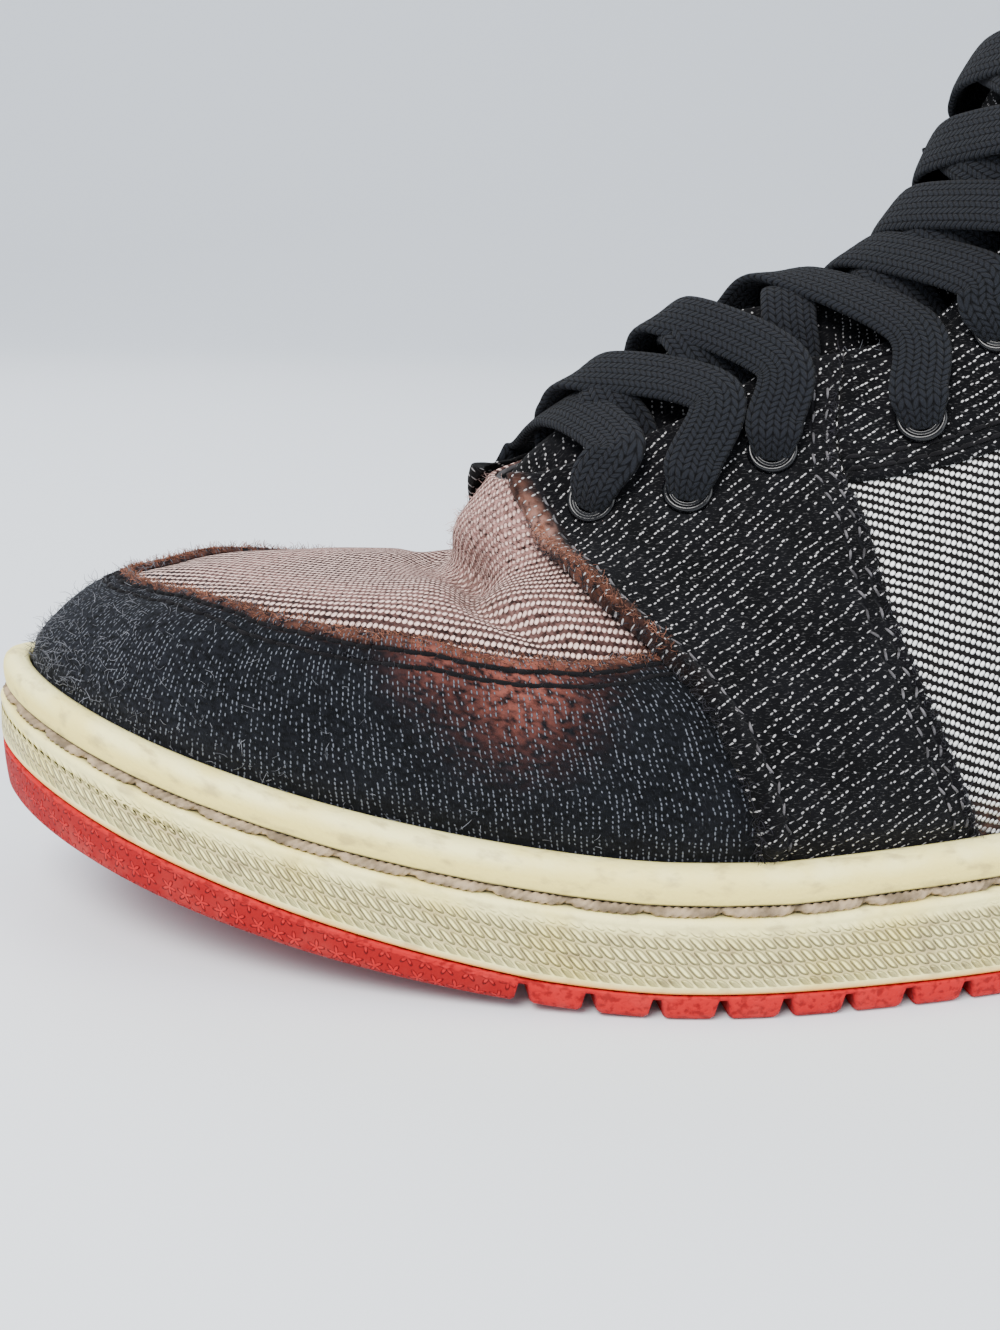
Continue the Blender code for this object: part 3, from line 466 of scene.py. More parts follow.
def flatten_panel(face: Callable[[Array, Array], Array], grain: Array, along: Array, up: Array) -> Array:
    """Flat pattern of a curved panel, in metres, laid so that the grain runs along its first axis.

    An even coarse copy of the panel is unwrapped, scaled to the panel's own area and turned, and
    the places between are read from a smooth surface through it.

    Args:
        face: Point of the panel at a share along and a share up.
        grain: Direction of the cloth's rows at the panel's middle, in the part's axes.
        along: Shares along the panel that are wanted.
        up: Shares up the panel that are wanted.
    """
    count = 28
    share = np.linspace(0, 1, count + 1)
    coarse = face(*np.meshgrid(share, share, indexing="ij"))
    mesh = bpy.data.meshes.new("pattern")
    mesh.from_pydata(coarse.reshape(-1, 3).tolist(), [], grid_quads(*coarse.shape[:2]).tolist())
    obj = bpy.data.objects.new("pattern", mesh)
    bpy.context.scene.collection.objects.link(obj)
    bpy.context.view_layer.objects.active = obj
    obj.select_set(True)
    bpy.ops.object.mode_set(mode="EDIT")
    bpy.ops.mesh.select_all(action="SELECT")
    bpy.ops.uv.unwrap(method="ANGLE_BASED", margin=0.0)
    bpy.ops.object.mode_set(mode="OBJECT")
    index = np.empty(len(mesh.loops), np.int32)
    mesh.loops.foreach_get("vertex_index", index)
    flat = np.empty(len(mesh.loops) * 2, np.float32)
    mesh.uv_layers.active.data.foreach_get("uv", flat)
    uv = np.zeros((len(mesh.vertices), 2))
    uv[index] = flat.reshape(-1, 2)
    uv = uv.reshape(coarse.shape[:2] + (2,))
    bpy.data.objects.remove(obj, do_unlink=True)
    bpy.data.meshes.remove(mesh)
    run, rise = np.gradient(coarse, axis=0), np.gradient(coarse, axis=1)
    uv_run, uv_rise = np.gradient(uv, axis=0), np.gradient(uv, axis=1)
    area = np.linalg.norm(np.cross(run, rise), axis=-1).sum()
    turn = uv_run[..., 0] * uv_rise[..., 1] - uv_run[..., 1] * uv_rise[..., 0]
    scale = math.sqrt(area / np.abs(turn).sum())
    flip = np.array([1.0, -1.0 if turn.sum() < 0 else 1.0])
    uv, uv_run, uv_rise = uv * scale * flip, uv_run * scale * flip, uv_rise * scale * flip
    mid = count // 2
    share_3d, *_ = np.linalg.lstsq(np.stack([run[mid, mid], rise[mid, mid]], axis=1), grain, rcond=None)
    here = uv_run[mid, mid] * share_3d[0] + uv_rise[mid, mid] * share_3d[1]
    angle = math.atan2(here[1], here[0])
    spin = np.array([[math.cos(angle), -math.sin(angle)], [math.sin(angle), math.cos(angle)]])
    uv = (uv - uv[mid, mid]) @ spin
    dense = along_rows(uv, along * count)
    return along_rows(dense.swapaxes(0, 1), up * count).swapaxes(0, 1)


def edge_lengths(points: Array, axis: int) -> Array:
    """Distance of each grid point from the first row or column, along its own line."""
    steps = np.linalg.norm(np.diff(points, axis=axis), axis=-1)
    start = np.zeros_like(np.take(steps, [0], axis=axis))
    return np.concatenate([start, np.cumsum(steps, axis=axis)], axis=axis)


class Graph:
    """Shorthand for a node tree: each method adds one node and gives back its output."""

    def __init__(self, tree: bpy.types.NodeTree) -> None:
        """Keeps the tree that the nodes go into."""
        self.tree = tree

    def node(self, kind: str, **settings: object) -> bpy.types.Node:
        """Adds a node and sets its options."""
        made = self.tree.nodes.new(kind)
        for key, value in settings.items():
            setattr(made, key, value)
        return made

    def feed(self, target: Socket, value: Value | Sequence[float]) -> None:
        """Links an output to an input, or sets the input's own value."""
        if isinstance(value, bpy.types.NodeSocket):
            self.tree.links.new(value, target)
        elif hasattr(value, "__len__") and len(value) == 3 and target.type == "RGBA":
            target.default_value = (*value, 1.0)
        else:
            target.default_value = value

    def math(self, operation: str, *values: Value, clamp: bool = False) -> Socket:
        """One arithmetic step."""
        made = self.node("ShaderNodeMath", operation=operation, use_clamp=clamp)
        for target, value in zip(made.inputs, values):
            self.feed(target, value)
        return made.outputs[0]

    def times(self, first: Value, second: Value, clamp: bool = False) -> Socket:
        """Product of two values."""
        return self.math("MULTIPLY", first, second, clamp=clamp)

    def plus(self, first: Value, second: Value, clamp: bool = False) -> Socket:
        """Sum of two values."""
        return self.math("ADD", first, second, clamp=clamp)

    def minus(self, first: Value, second: Value, clamp: bool = False) -> Socket:
        """Difference of two values."""
        return self.math("SUBTRACT", first, second, clamp=clamp)

    def over(self, first: Value, second: Value, clamp: bool = False) -> Socket:
        """Quotient of two values."""
        return self.math("DIVIDE", first, second, clamp=clamp)

    def ramp(self, value: Value, low: Value, high: Value) -> Socket:
        """Smooth step from 0 at low to 1 at high; low may be above high."""
        made = self.node("ShaderNodeMapRange", interpolation_type="SMOOTHSTEP")
        for target, item in zip(made.inputs, (value, low, high)):
            self.feed(target, item)
        return made.outputs[0]

    def colour(self, share: Value, low: Socket | Colour, high: Socket | Colour) -> Socket:
        """Mixes two colours by a share."""
        made = self.node("ShaderNodeMix", data_type="RGBA")
        self.feed(made.inputs[0], share)
        self.feed(made.inputs[6], low)
        self.feed(made.inputs[7], high)
        return made.outputs[2]

    def noise(self, vector: Socket, size: float, detail: float = 3.0) -> Socket:
        """Cloudy pattern from 0 to 1 whose patches measure about size, in the vector's unit."""
        made = self.node("ShaderNodeTexNoise")
        self.feed(made.inputs["Vector"], vector)
        self.feed(made.inputs["Scale"], 1.0 / size)
        self.feed(made.inputs["Detail"], detail)
        return made.outputs[0]

    def stretch(self, vector: Socket, scale: Sequence[float], angle: float = 0.0) -> Socket:
        """Scales and turns a vector about the third axis."""
        made = self.node("ShaderNodeMapping")
        self.feed(made.inputs["Vector"], vector)
        made.inputs["Scale"].default_value = scale
        made.inputs["Rotation"].default_value = (0.0, 0.0, angle)
        return made.outputs[0]

    def warp(self, vector: Socket, size: float, amount: float) -> Socket:
        """Pushes a place about by up to half an amount, in soft waves that measure about size."""
        made = self.node("ShaderNodeTexNoise")
        self.feed(made.inputs["Vector"], vector)
        self.feed(made.inputs["Scale"], 1.0 / size)
        self.feed(made.inputs["Detail"], 2.0)
        shift = self.node("ShaderNodeVectorMath", operation="MULTIPLY_ADD")
        self.feed(shift.inputs[0], made.outputs["Color"])
        shift.inputs[1].default_value = (amount, amount, 0.0)
        self.feed(shift.inputs[2], vector)
        return shift.outputs[0]

    def attribute(self, name: str) -> Socket:
        """A value that the mesh carries at each point."""
        return self.node("ShaderNodeAttribute", attribute_name=name).outputs["Fac"]

    def cloth(self) -> Socket:
        """The piece's flat pattern, in millimetres."""
        source = self.node("ShaderNodeUVMap", uv_map="cloth").outputs[0]
        return self.stretch(source, (1000.0, 1000.0, 1000.0))

    def object_mm(self) -> Socket:
        """Object coordinates, in millimetres."""
        source = self.node("ShaderNodeTexCoord").outputs["Object"]
        return self.stretch(source, (1000.0, 1000.0, 1000.0))

    def bump(self, height: Socket, distance: float, before: Socket | None = None) -> Socket:
        """Turns a height from 0 to 1 into a normal, distance metres deep."""
        made = self.node("ShaderNodeBump")
        made.inputs["Strength"].default_value = 1.0
        made.inputs["Distance"].default_value = distance
        self.feed(made.inputs["Height"], height)
        if before is not None:
            self.feed(made.inputs["Normal"], before)
        return made.outputs[0]

    def split(self, vector: Socket) -> tuple[Socket, Socket]:
        """First two parts of a vector."""
        made = self.node("ShaderNodeSeparateXYZ")
        self.feed(made.inputs[0], vector)
        return made.outputs[0], made.outputs[1]

    def random(self, first: Value, second: Value, seed: float = 0.0) -> tuple[Socket, Socket]:
        """Two random values from 0 to 1 for a pair of whole numbers."""
        pair = self.node("ShaderNodeCombineXYZ")
        self.feed(pair.inputs[0], first)
        self.feed(pair.inputs[1], second)
        pair.inputs[2].default_value = seed
        made = self.node("ShaderNodeTexWhiteNoise", noise_dimensions="3D")
        self.feed(made.inputs["Vector"], pair.outputs[0])
        parts = self.node("ShaderNodeSeparateColor")
        self.feed(parts.inputs[0], made.outputs["Color"])
        return made.outputs["Value"], parts.outputs[1]

    def cell(self, value: Socket) -> tuple[Socket, Socket]:
        """Whole number of the cell that a value is in, and its place in it from -0.5 to 0.5."""
        whole = self.math("FLOOR", value)
        return whole, self.minus(self.math("FRACT", value), 0.5)


def effect(name: str, inputs: dict[str, float], outputs: Sequence[str],
           fill: Callable[[Graph, dict[str, Socket]], dict[str, Socket]]) -> bpy.types.NodeTree:
    """Makes a shader node group once.

    Args:
        name: The group's name.
        inputs: Number inputs and their first values; a Vector input is always there too.
        outputs: Names of its number outputs.
        fill: Adds the nodes and gives back an output for each name.

    Returns:
        The group.
    """
    tree = bpy.data.node_groups.new(name, "ShaderNodeTree")
    tree.interface.new_socket("Vector", in_out="INPUT", socket_type="NodeSocketVector")
    for key, value in inputs.items():
        made = tree.interface.new_socket(key, in_out="INPUT", socket_type="NodeSocketFloat")
        made.default_value = value
    for key in outputs:
        tree.interface.new_socket(key, in_out="OUTPUT", socket_type="NodeSocketFloat")
    graph = Graph(tree)
    start = graph.node("NodeGroupInput")
    end = graph.node("NodeGroupOutput")
    found = fill(graph, {item.name: item for item in start.outputs if item.name})
    for key in outputs:
        graph.feed(end.inputs[key], found[key])
    return tree


def turned(graph: Graph, vector: Socket, angle: Socket) -> tuple[Socket, Socket]:
    """Distances along and across rows that run at an angle, in the vector's unit."""
    made = graph.node("ShaderNodeVectorRotate", rotation_type="Z_AXIS")
    graph.feed(made.inputs["Vector"], vector)
    graph.feed(made.inputs["Angle"], angle)
    return graph.split(made.outputs[0])


def fill_flecks(graph: Graph, given: dict[str, Socket]) -> dict[str, Socket]:
    """Rows of short thread ends: an ellipse in each cell of a sheared grid, some left out.

    Each row is shifted by its own random share, and each fleck has its own size and place.
    """
    x, y = turned(graph, given["Vector"], given["Angle"])
    row, across = graph.cell(graph.over(y, given["Row"]))
    shift, _ = graph.random(row, 3.0)
    step = graph.plus(graph.over(x, given["Pitch"]), graph.times(shift, 9.0))
    column, along = graph.cell(step)
    size, drift = graph.random(column, row)
    keep, sway = graph.random(column, row, 5.0)
    along = graph.plus(along, graph.times(graph.minus(drift, 0.5), 0.4))
    across = graph.plus(across, graph.times(graph.minus(sway, 0.5), 0.22))
    reach = graph.times(given["Length"], graph.plus(0.65, graph.times(size, 0.6)))
    long_part = graph.math("POWER", graph.over(along, reach), 2.0)
    wide_part = graph.math("POWER", graph.over(across, given["Width"]), 2.0)
    shape = graph.ramp(graph.plus(long_part, wide_part), 1.25, 0.45)
    shown = graph.math("LESS_THAN", keep, given["Presence"])
    mask = graph.times(shape, shown)
    return {"Mask": mask, "Height": mask}


def fill_twill(graph: Graph, given: dict[str, Socket]) -> dict[str, Socket]:
    """Bold rows of plump slanted slubs: a rounded box in each cell of a sheared grid."""
    x, y = turned(graph, given["Vector"], given["Angle"])
    row, across = graph.cell(graph.over(y, given["Row"]))
    slant = graph.times(across, given["Slant"])
    stagger = graph.times(row, 0.38)
    step = graph.plus(graph.over(x, given["Pitch"]), graph.plus(slant, stagger))
    column, along = graph.cell(step)
    size, sway = graph.random(column, row)
    half = graph.times(given["Fill"], graph.plus(0.86, graph.times(size, 0.28)))
    across = graph.plus(across, graph.times(graph.minus(sway, 0.5), 0.08))
    tilt = graph.times(graph.math("SIGN", given["Slant"]), 0.3)
    across = graph.minus(across, graph.times(along, tilt))
    long_part = graph.math("POWER", graph.math("ABSOLUTE", graph.over(along, 0.47)), 2.2)
    wide_part = graph.math("POWER", graph.math("ABSOLUTE", graph.over(across, half)), 2.4)
    total = graph.plus(long_part, wide_part)
    return {"Mask": graph.ramp(total, 1.25, 0.75), "Height": graph.ramp(total, 1.35, 0.1)}


def fill_bars(graph: Graph, given: dict[str, Socket]) -> dict[str, Socket]:
    """Short raised bars in staggered rows: an ellipse in each cell, its long axis leaning."""
    x, y = graph.split(given["Vector"])
    row, up = graph.cell(graph.over(y, given["Row"]))
    lean = graph.times(up, given["Lean"])
    stagger = graph.times(row, 0.47)
    step = graph.plus(graph.over(x, given["Pitch"]), graph.plus(lean, stagger))
    column, along = graph.cell(step)
    size, _ = graph.random(column, row)
    reach = graph.plus(0.40, graph.times(size, 0.12))
    long_part = graph.math("POWER", graph.math("ABSOLUTE", graph.over(up, reach)), 4.0)
    wide_part = graph.math("POWER", graph.math("ABSOLUTE", graph.over(along, given["Width"])), 2.0)
    height = graph.ramp(graph.plus(long_part, wide_part), 1.4, 0.1)
    return {"Height": height, "Mask": height}


def fill_stars(graph: Graph, given: dict[str, Socket]) -> dict[str, Socket]:
    """Raised five-pointed crumbs: a radius that swings five times round, in each cell."""
    x, y = graph.split(given["Vector"])
    row, up = graph.cell(graph.over(y, given["Row"]))
    step = graph.plus(graph.over(x, given["Row"]), graph.times(row, 0.5))
    column, along = graph.cell(step)
    turn, drift = graph.random(column, row)
    along = graph.plus(along, graph.times(graph.minus(drift, 0.5), 0.2))
    angle = graph.plus(graph.math("ARCTAN2", up, along), graph.times(turn, 6.28))
    swing = graph.math("COSINE", graph.times(angle, 5.0))
    edge = graph.plus(0.32, graph.times(swing, 0.16))
    radius = graph.math("SQRT", graph.plus(graph.math("POWER", up, 2.0), graph.math("POWER", along, 2.0)))
    height = graph.ramp(graph.minus(edge, radius), -0.03, 0.12)
    return {"Height": height, "Mask": height}


def fill_braid(graph: Graph, given: dict[str, Socket]) -> dict[str, Socket]:
    """Flat braid: columns of stitches that lean in turn to the left and to the right."""
    x, y = graph.split(given["Vector"])
    column, side = graph.cell(graph.over(y, given["Column"]))
    odd = graph.minus(graph.times(graph.math("PINGPONG", column, 1.0), 2.0), 1.0)
    lean = graph.times(graph.times(side, odd), 0.9)
    step = graph.plus(graph.over(x, given["Pitch"]), lean)
    _, along = graph.cell(step)
    long_part = graph.math("POWER", graph.math("ABSOLUTE", graph.over(along, 0.5)), 2.0)
    wide_part = graph.math("POWER", graph.math("ABSOLUTE", graph.over(side, 0.52)), 3.0)
    height = graph.ramp(graph.plus(long_part, wide_part), 1.35, 0.15)
    return {"Height": height, "Mask": height}


class Effect(Enum):
    """The shared patterns, each a node group made on first use."""

    FLECKS = "thread flecks"
    TWILL = "bold twill"
    BARS = "raised bars"
    STARS = "raised stars"
    BRAID = "flat braid"

    def tree(self) -> bpy.types.NodeTree:
        """The pattern's node group."""
        known = bpy.data.node_groups.get(self.value)
        return known or effect(self.value, *EFFECT_PARTS[self])

    def add(self, graph: Graph, vector: Socket, **values: Value) -> tuple[Socket, Socket]:
        """Places the pattern in a material with its own values.

        Args:
            graph: The material's graph.
            vector: Place on the surface, in millimetres.
            values: Numbers for the group's inputs.

        Returns:
            Its mask and its height.
        """
        made = graph.node("ShaderNodeGroup", node_tree=self.tree())
        graph.feed(made.inputs["Vector"], vector)
        for key, value in values.items():
            graph.feed(made.inputs[key], value)
        return made.outputs["Mask"], made.outputs["Height"]


OUTPUTS = ("Mask", "Height")
EFFECT_PARTS = {
    Effect.FLECKS: ({"Angle": 0.0, "Row": 1.6, "Pitch": 0.8, "Length": 0.3, "Width": 0.12,
                     "Presence": 0.8}, OUTPUTS, fill_flecks),
    Effect.TWILL: ({"Angle": 0.0, "Row": 1.2, "Pitch": 0.7, "Slant": 0.5, "Fill": 0.3},
                   OUTPUTS, fill_twill),
    Effect.BARS: ({"Row": 2.5, "Pitch": 1.45, "Lean": 1.0, "Width": 0.24}, OUTPUTS, fill_bars),
    Effect.STARS: ({"Row": 3.4}, OUTPUTS, fill_stars),
    Effect.BRAID: ({"Column": 1.3, "Pitch": 1.1}, OUTPUTS, fill_braid),
}


def surface_of(name: str, roughness: float, specular: float = 0.3, metallic: float = 0.0,
               sheen: float = 0.0, coat: float = 0.0) -> tuple[bpy.types.Material, Graph, bpy.types.Node]:
    """A new material with its Principled shader set, and the graph to dress it with."""
    material = bpy.data.materials.new(name)
    material.use_nodes = True
    shader = material.node_tree.nodes["Principled BSDF"]
    shader.inputs["Roughness"].default_value = roughness
    shader.inputs["Specular IOR Level"].default_value = specular
    shader.inputs["Metallic"].default_value = metallic
    shader.inputs["Sheen Weight"].default_value = sheen
    shader.inputs["Sheen Roughness"].default_value = 0.6
    shader.inputs["Coat Weight"].default_value = coat
    return material, Graph(material.node_tree), shader


@dataclass(frozen=True)
class Seam:
    """A stitched groove at a distance from one side of a panel."""

    side: str
    distance: float
    width: float = 0.5


WEAR_SIZES = {"rust": 1.3, "pale": 1.1, "lint": 0.8}


def dress_wear(g: Graph, cloth: Socket, base: Socket, spots: dict[str, Colour]) -> Socket:
    """Lays worn colours over a cloth, each where the mesh carries its mask, broken up by noise."""
    for mask, colour in spots.items():
        cloud = g.noise(g.stretch(cloth, (1.0, 0.6, 1.0), 0.7), WEAR_SIZES[mask], 5.0)
        share = g.times(g.attribute(mask), g.ramp(cloud, 0.3, 0.66), clamp=True)
        base = g.colour(share, base, colour)
    return base


def dress_seams(g: Graph, seams: Sequence[Seam]) -> Value:
    """Depth from 0 to 1 of all the stitched grooves together."""
    depth: Value = 0.0
    for seam in seams:
        gap = g.math("ABSOLUTE", g.minus(g.attribute(seam.side), seam.distance))
        depth = g.math("MAXIMUM", depth, g.ramp(gap, seam.width, 0.1 * seam.width))
    return depth


@dataclass(frozen=True)
class Denim:
    """Dark cloth with rows of pale thread ends, worn and stitched."""

    name: str
    ground: Colour
    fleck: Colour
    angle: float = 0.0
    row: float = 1.5
    pitch: float = 0.8
    length: float = 0.30
    width: float = 0.17
    presence: float = 0.85
    rust: Colour = tone(98, 60, 46)
    pale: Colour = tone(168, 128, 116)
    lint: Colour = tone(138, 146, 160)
    seams: tuple[Seam, ...] = ()

    def make(self) -> bpy.types.Material:
        """Builds the material."""
        material, g, shader = surface_of(self.name, 0.94, 0.05, sheen=0.02)
        cloth = g.warp(g.cloth(), 5.0, 0.7)
        mask, height = Effect.FLECKS.add(
            g, cloth, Angle=math.radians(self.angle), Row=self.row, Pitch=self.pitch,
            Length=self.length, Width=self.width, Presence=self.presence)
        thread = g.noise(g.stretch(cloth, (1.0, 3.2, 1.0), math.radians(35.0)), 0.8, 3.0)
        cloud = g.noise(cloth, 11.0, 4.0)
        dark = tuple(0.6 * part for part in self.ground)
        light = tuple(1.5 * part for part in self.ground)
        base = g.colour(g.ramp(cloud, 0.3, 0.7), dark, light)
        base = g.colour(g.times(g.ramp(thread, 0.55, 0.75), 0.1), base, self.fleck)
        seam = dress_seams(g, self.seams)
        shown = g.times(mask, g.ramp(g.noise(cloth, 3.4), 0.22, 0.55))
        shown = g.times(shown, g.minus(1.0, seam))
        worn = dress_wear(g, cloth, base, {"rust": self.rust, "pale": self.pale, "lint": self.lint})
        base = g.colour(shown, worn, self.fleck)
        base = g.colour(g.times(seam, 0.85), base, tone(14, 14, 17))
        g.feed(shader.inputs["Base Color"], base)
        fibre = g.times(thread, 0.5)
        total = g.plus(g.times(height, 0.45), fibre)
        total = g.minus(total, g.times(seam, 0.9))
        g.feed(shader.inputs["Normal"], g.bump(total, 0.35 * MM))
        return material


@dataclass(frozen=True)
class Twill:
    """Coarse cloth whose white slubs stand out in bold slanting rows."""

    name: str
    ground: Colour
    slub: Colour
    angle: float
    row: float = 1.2
    pitch: float = 0.72
    slant: float = -0.9
    fill: float = 0.27
    haze: Colour = tone(176, 132, 124)
    grime: Colour = tone(84, 62, 54)

    def make(self) -> bpy.types.Material:
        """Builds the material."""
        material, g, shader = surface_of(self.name, 0.94, 0.06, sheen=0.02)
        cloth = g.warp(g.cloth(), 6.0, 0.9)
        mask, height = Effect.TWILL.add(
            g, cloth, Angle=math.radians(self.angle), Row=self.row, Pitch=self.pitch,
            Slant=self.slant, Fill=self.fill)
        cloud = g.noise(cloth, 8.0, 4.0)
        thread = g.noise(g.stretch(cloth, (1.0, 2.6, 1.0), math.radians(-30.0)), 0.5, 3.0)
        dark = tuple(0.6 * part for part in self.ground)
        base = g.colour(g.ramp(cloud, 0.3, 0.7), dark, self.ground)
        slub = g.colour(g.ramp(g.noise(cloth, 1.1), 0.3, 0.7), tuple(0.72 * p for p in self.slub), self.slub)
        shown = g.times(mask, g.ramp(g.noise(cloth, 2.6, 4.0), 0.15, 0.36))
        base = g.colour(shown, base, slub)
        base = dress_wear(g, cloth, base, {"lint": self.haze, "rust": self.grime, "pale": self.slub})
        g.feed(shader.inputs["Base Color"], base)
        total = g.plus(g.times(height, 0.8), g.times(thread, 0.35))
        g.feed(shader.inputs["Normal"], g.bump(total, 0.45 * MM))
        return material


@dataclass(frozen=True)
class PlainCloth:
    """Fine plain cloth for linings, or a tuft's fibres."""

    name: str
    colour: Colour
    spread: float = 0.5

    def make(self) -> bpy.types.Material:
        """Builds the material, its shade wandering over the piece."""
        material, g, shader = surface_of(self.name, 0.95, 0.06, sheen=0.03)
        place = g.object_mm()
        cloud = g.noise(place, 3.0, 4.0)
        dark = tuple((1 - self.spread) * part for part in self.colour)
        light = tuple((1 + self.spread) * part for part in self.colour)
        g.feed(shader.inputs["Base Color"], g.colour(g.ramp(cloud, 0.3, 0.7), dark, light))
        g.feed(shader.inputs["Normal"], g.bump(g.noise(place, 0.5), 0.15 * MM))
        return material


@dataclass(frozen=True)
class CreamRubber:
    """Yellowed rubber with ribs where the mesh says so, smudges, stains, a glue line and painted shade."""

    name: str = "cream_rubber"
    cream: Colour = tone(253, 246, 178)
    yellow: Colour = tone(238, 219, 122)
    # Colour of the smudges, and of the painted shade between the ribs.
    grime: Colour = tone(140, 120, 88)

    def make(self) -> bpy.types.Material:
        """Builds the material."""
        material, g, shader = surface_of(self.name, 0.5, 0.35)
        cloth = g.cloth()
        _, ribs = Effect.BARS.add(g, cloth, Row=2.35, Pitch=1.9, Lean=1.1, Width=0.36)
        ribs = g.times(ribs, g.attribute("rib"))
        cloud = g.noise(cloth, 14.0, 5.0)
        base = g.colour(g.attribute("yellow"), self.cream, self.yellow)
        base = g.colour(g.times(g.ramp(cloud, 0.42, 0.7), 0.75), base, self.yellow)
        smudge = g.times(g.ramp(g.noise(g.stretch(cloth, (1.0, 1.7, 1.0)), 5.0, 6.0), 0.5, 0.72), 0.5)
        base = g.colour(smudge, base, self.grime)
        # Painted shade: the hollows between the raised bars are darkened towards the grime colour.
        between = g.times(g.minus(g.attribute("rib"), ribs, clamp=True), 0.6)
        base = g.colour(between, base, self.grime)
        base = g.colour(g.times(g.attribute("stain"), g.ramp(cloud, 0.25, 0.6)), base, tone(196, 150, 70))
        base = g.colour(g.attribute("glue"), base, tone(224, 146, 66))
        base = g.colour(g.attribute("shade"), base, tone(58, 46, 38))
        g.feed(shader.inputs["Base Color"], base)
        grain = g.times(g.noise(cloth, 0.8, 5.0), 0.06)
        g.feed(shader.inputs["Normal"], g.bump(g.plus(ribs, grain), 2.4 * MM))
        return material


@dataclass(frozen=True)
class RedRubber:
    """Coral red rubber with a crumbly grain, dusty on its worn faces, and painted shade between the toe's
    stars.
    """

    name: str = "coral_rubber"
    red: Colour = tone(174, 20, 24)
    dark: Colour = tone(132, 10, 13)
    dust: Colour = tone(196, 84, 76)

    def make(self) -> bpy.types.Material:
        """Builds the material."""
        material, g, shader = surface_of(self.name, 0.66, 0.16)
        place = g.object_mm()
        crumb = g.noise(place, 1.1, 6.0)
        _, stars = Effect.STARS.add(g, g.cloth(), Row=3.4)
        toe = g.attribute("toe")
        stars = g.times(stars, toe)
        crumb = g.times(crumb, g.minus(1.0, g.times(toe, 0.75)))
        base = g.colour(g.math("MAXIMUM", g.ramp(crumb, 0.36, 0.52), toe), self.dark, self.red)
        # Painted shade: the hollows between the raised stars at the toe are darkened to the dark red.
        hollow = g.times(g.minus(toe, stars, clamp=True), 0.85)
        base = g.colour(hollow, base, self.dark)
        dust = g.times(g.ramp(g.noise(place, 6.0, 5.0), 0.45, 0.75), g.attribute("worn"))
        base = g.colour(g.times(dust, 0.35), base, self.dust)
        base = g.colour(g.attribute("shade"), base, tone(52, 14, 14))
        g.feed(shader.inputs["Base Color"], base)
        g.feed(shader.inputs["Normal"], g.bump(g.plus(g.times(crumb, 0.25), stars), 1.3 * MM))
        return material


@dataclass(frozen=True)
class LaceBraid:
    """Blue-black flat braid, a little fuzzy."""

    name: str = "black_lace"
    ground: Colour = tone(2, 2, 3)
    light: Colour = tone(28, 30, 35)

    def make(self) -> bpy.types.Material:
        """Builds the material."""
        material, g, shader = surface_of(self.name, 0.92, 0.05, sheen=0.03)
        cloth = g.warp(g.cloth(), 4.0, 0.3)
        _, braid = Effect.BRAID.add(g, cloth, Column=1.2, Pitch=1.1)
        fine = g.noise(g.stretch(cloth, (1.0, 2.0, 1.0)), 0.35, 3.0)
        share = g.plus(g.times(braid, 0.45), g.times(fine, 0.55))
        g.feed(shader.inputs["Base Color"], g.colour(g.ramp(share, 0.2, 0.85), self.ground, self.light))
        g.feed(shader.inputs["Normal"], g.bump(share, 0.6 * MM))
        return material


def glossy_black() -> bpy.types.Material:
    """Black painted metal, shiny and lightly scratched."""
    material, g, shader = surface_of("black_metal", 0.15, 0.25, coat=0.1)
    shader.inputs["Base Color"].default_value = (*tone(6, 6, 8), 1.0)
    g.feed(shader.inputs["Roughness"], g.ramp(g.noise(g.object_mm(), 0.7), 0.2, 1.6))
    return material


def hole_shade() -> bpy.types.Material:
    """Painted shade for the inside of a lace hole: a matte near-black that stands for the shadow in its
    depth.
    """
    material, _, shader = surface_of("lace_hole", 0.95, 0.0)
    shader.inputs["Base Color"].default_value = (*tone(10, 10, 11), 1.0)
    return material


def closed(outer: Array, inner: Array, wrap: bool = False) -> MeshPart:
    """Points and faces of a layer between two grids, closed along its open sides."""
    rows, columns = outer.shape[:2]
    count = rows * columns
    front = grid_quads(rows, columns, 0, wrap)
    faces = [front, front[:, ::-1] + count]
    index = np.arange(count).reshape(rows, columns)
    rims = [(index[:, 0], wrap), (index[::-1, -1], wrap)]
    if not wrap:
        rims += [(index[0, ::-1], False), (index[-1], False)]
    for rim, loop in rims:
        after = np.roll(rim, -1) if loop else rim[1:]
        here = rim if loop else rim[:-1]
        faces.append(np.column_stack([here, after, after + count, here + count]))
    return np.concatenate([outer.reshape(-1, 3), inner.reshape(-1, 3)]), faces


def rods(paths: Array, radius: Array, sides: int) -> MeshPart:
    """Thin tubes along many short paths at once, each closed at both ends.

    Args:
        paths: Points by rod, place along it and axis.
        radius: Radius by rod and place along it.
        sides: Number of flat sides.
    """
    count, steps = paths.shape[:2]
    tangent = unit(np.gradient(paths, axis=1))
    first = unit(np.cross(tangent, [0.31, 0.52, 0.79]))
    second = np.cross(tangent, first)
    angle = np.arange(sides) * 2 * math.pi / sides
    spokes = first[:, :, None] * np.cos(angle)[:, None] + second[:, :, None] * np.sin(angle)[:, None]
    points = paths[:, :, None] + spokes * radius[:, :, None, None]
    index = np.arange(count * steps * sides).reshape(count, steps, sides)
    around = np.roll(index, -1, axis=2)
    walls = np.stack([index[:, :-1], around[:, :-1], around[:, 1:], index[:, 1:]], axis=-1)
    ends = [index[:, 0, ::-1], index[:, -1]]
    return points.reshape(-1, 3), [walls.reshape(-1, 4), *ends]


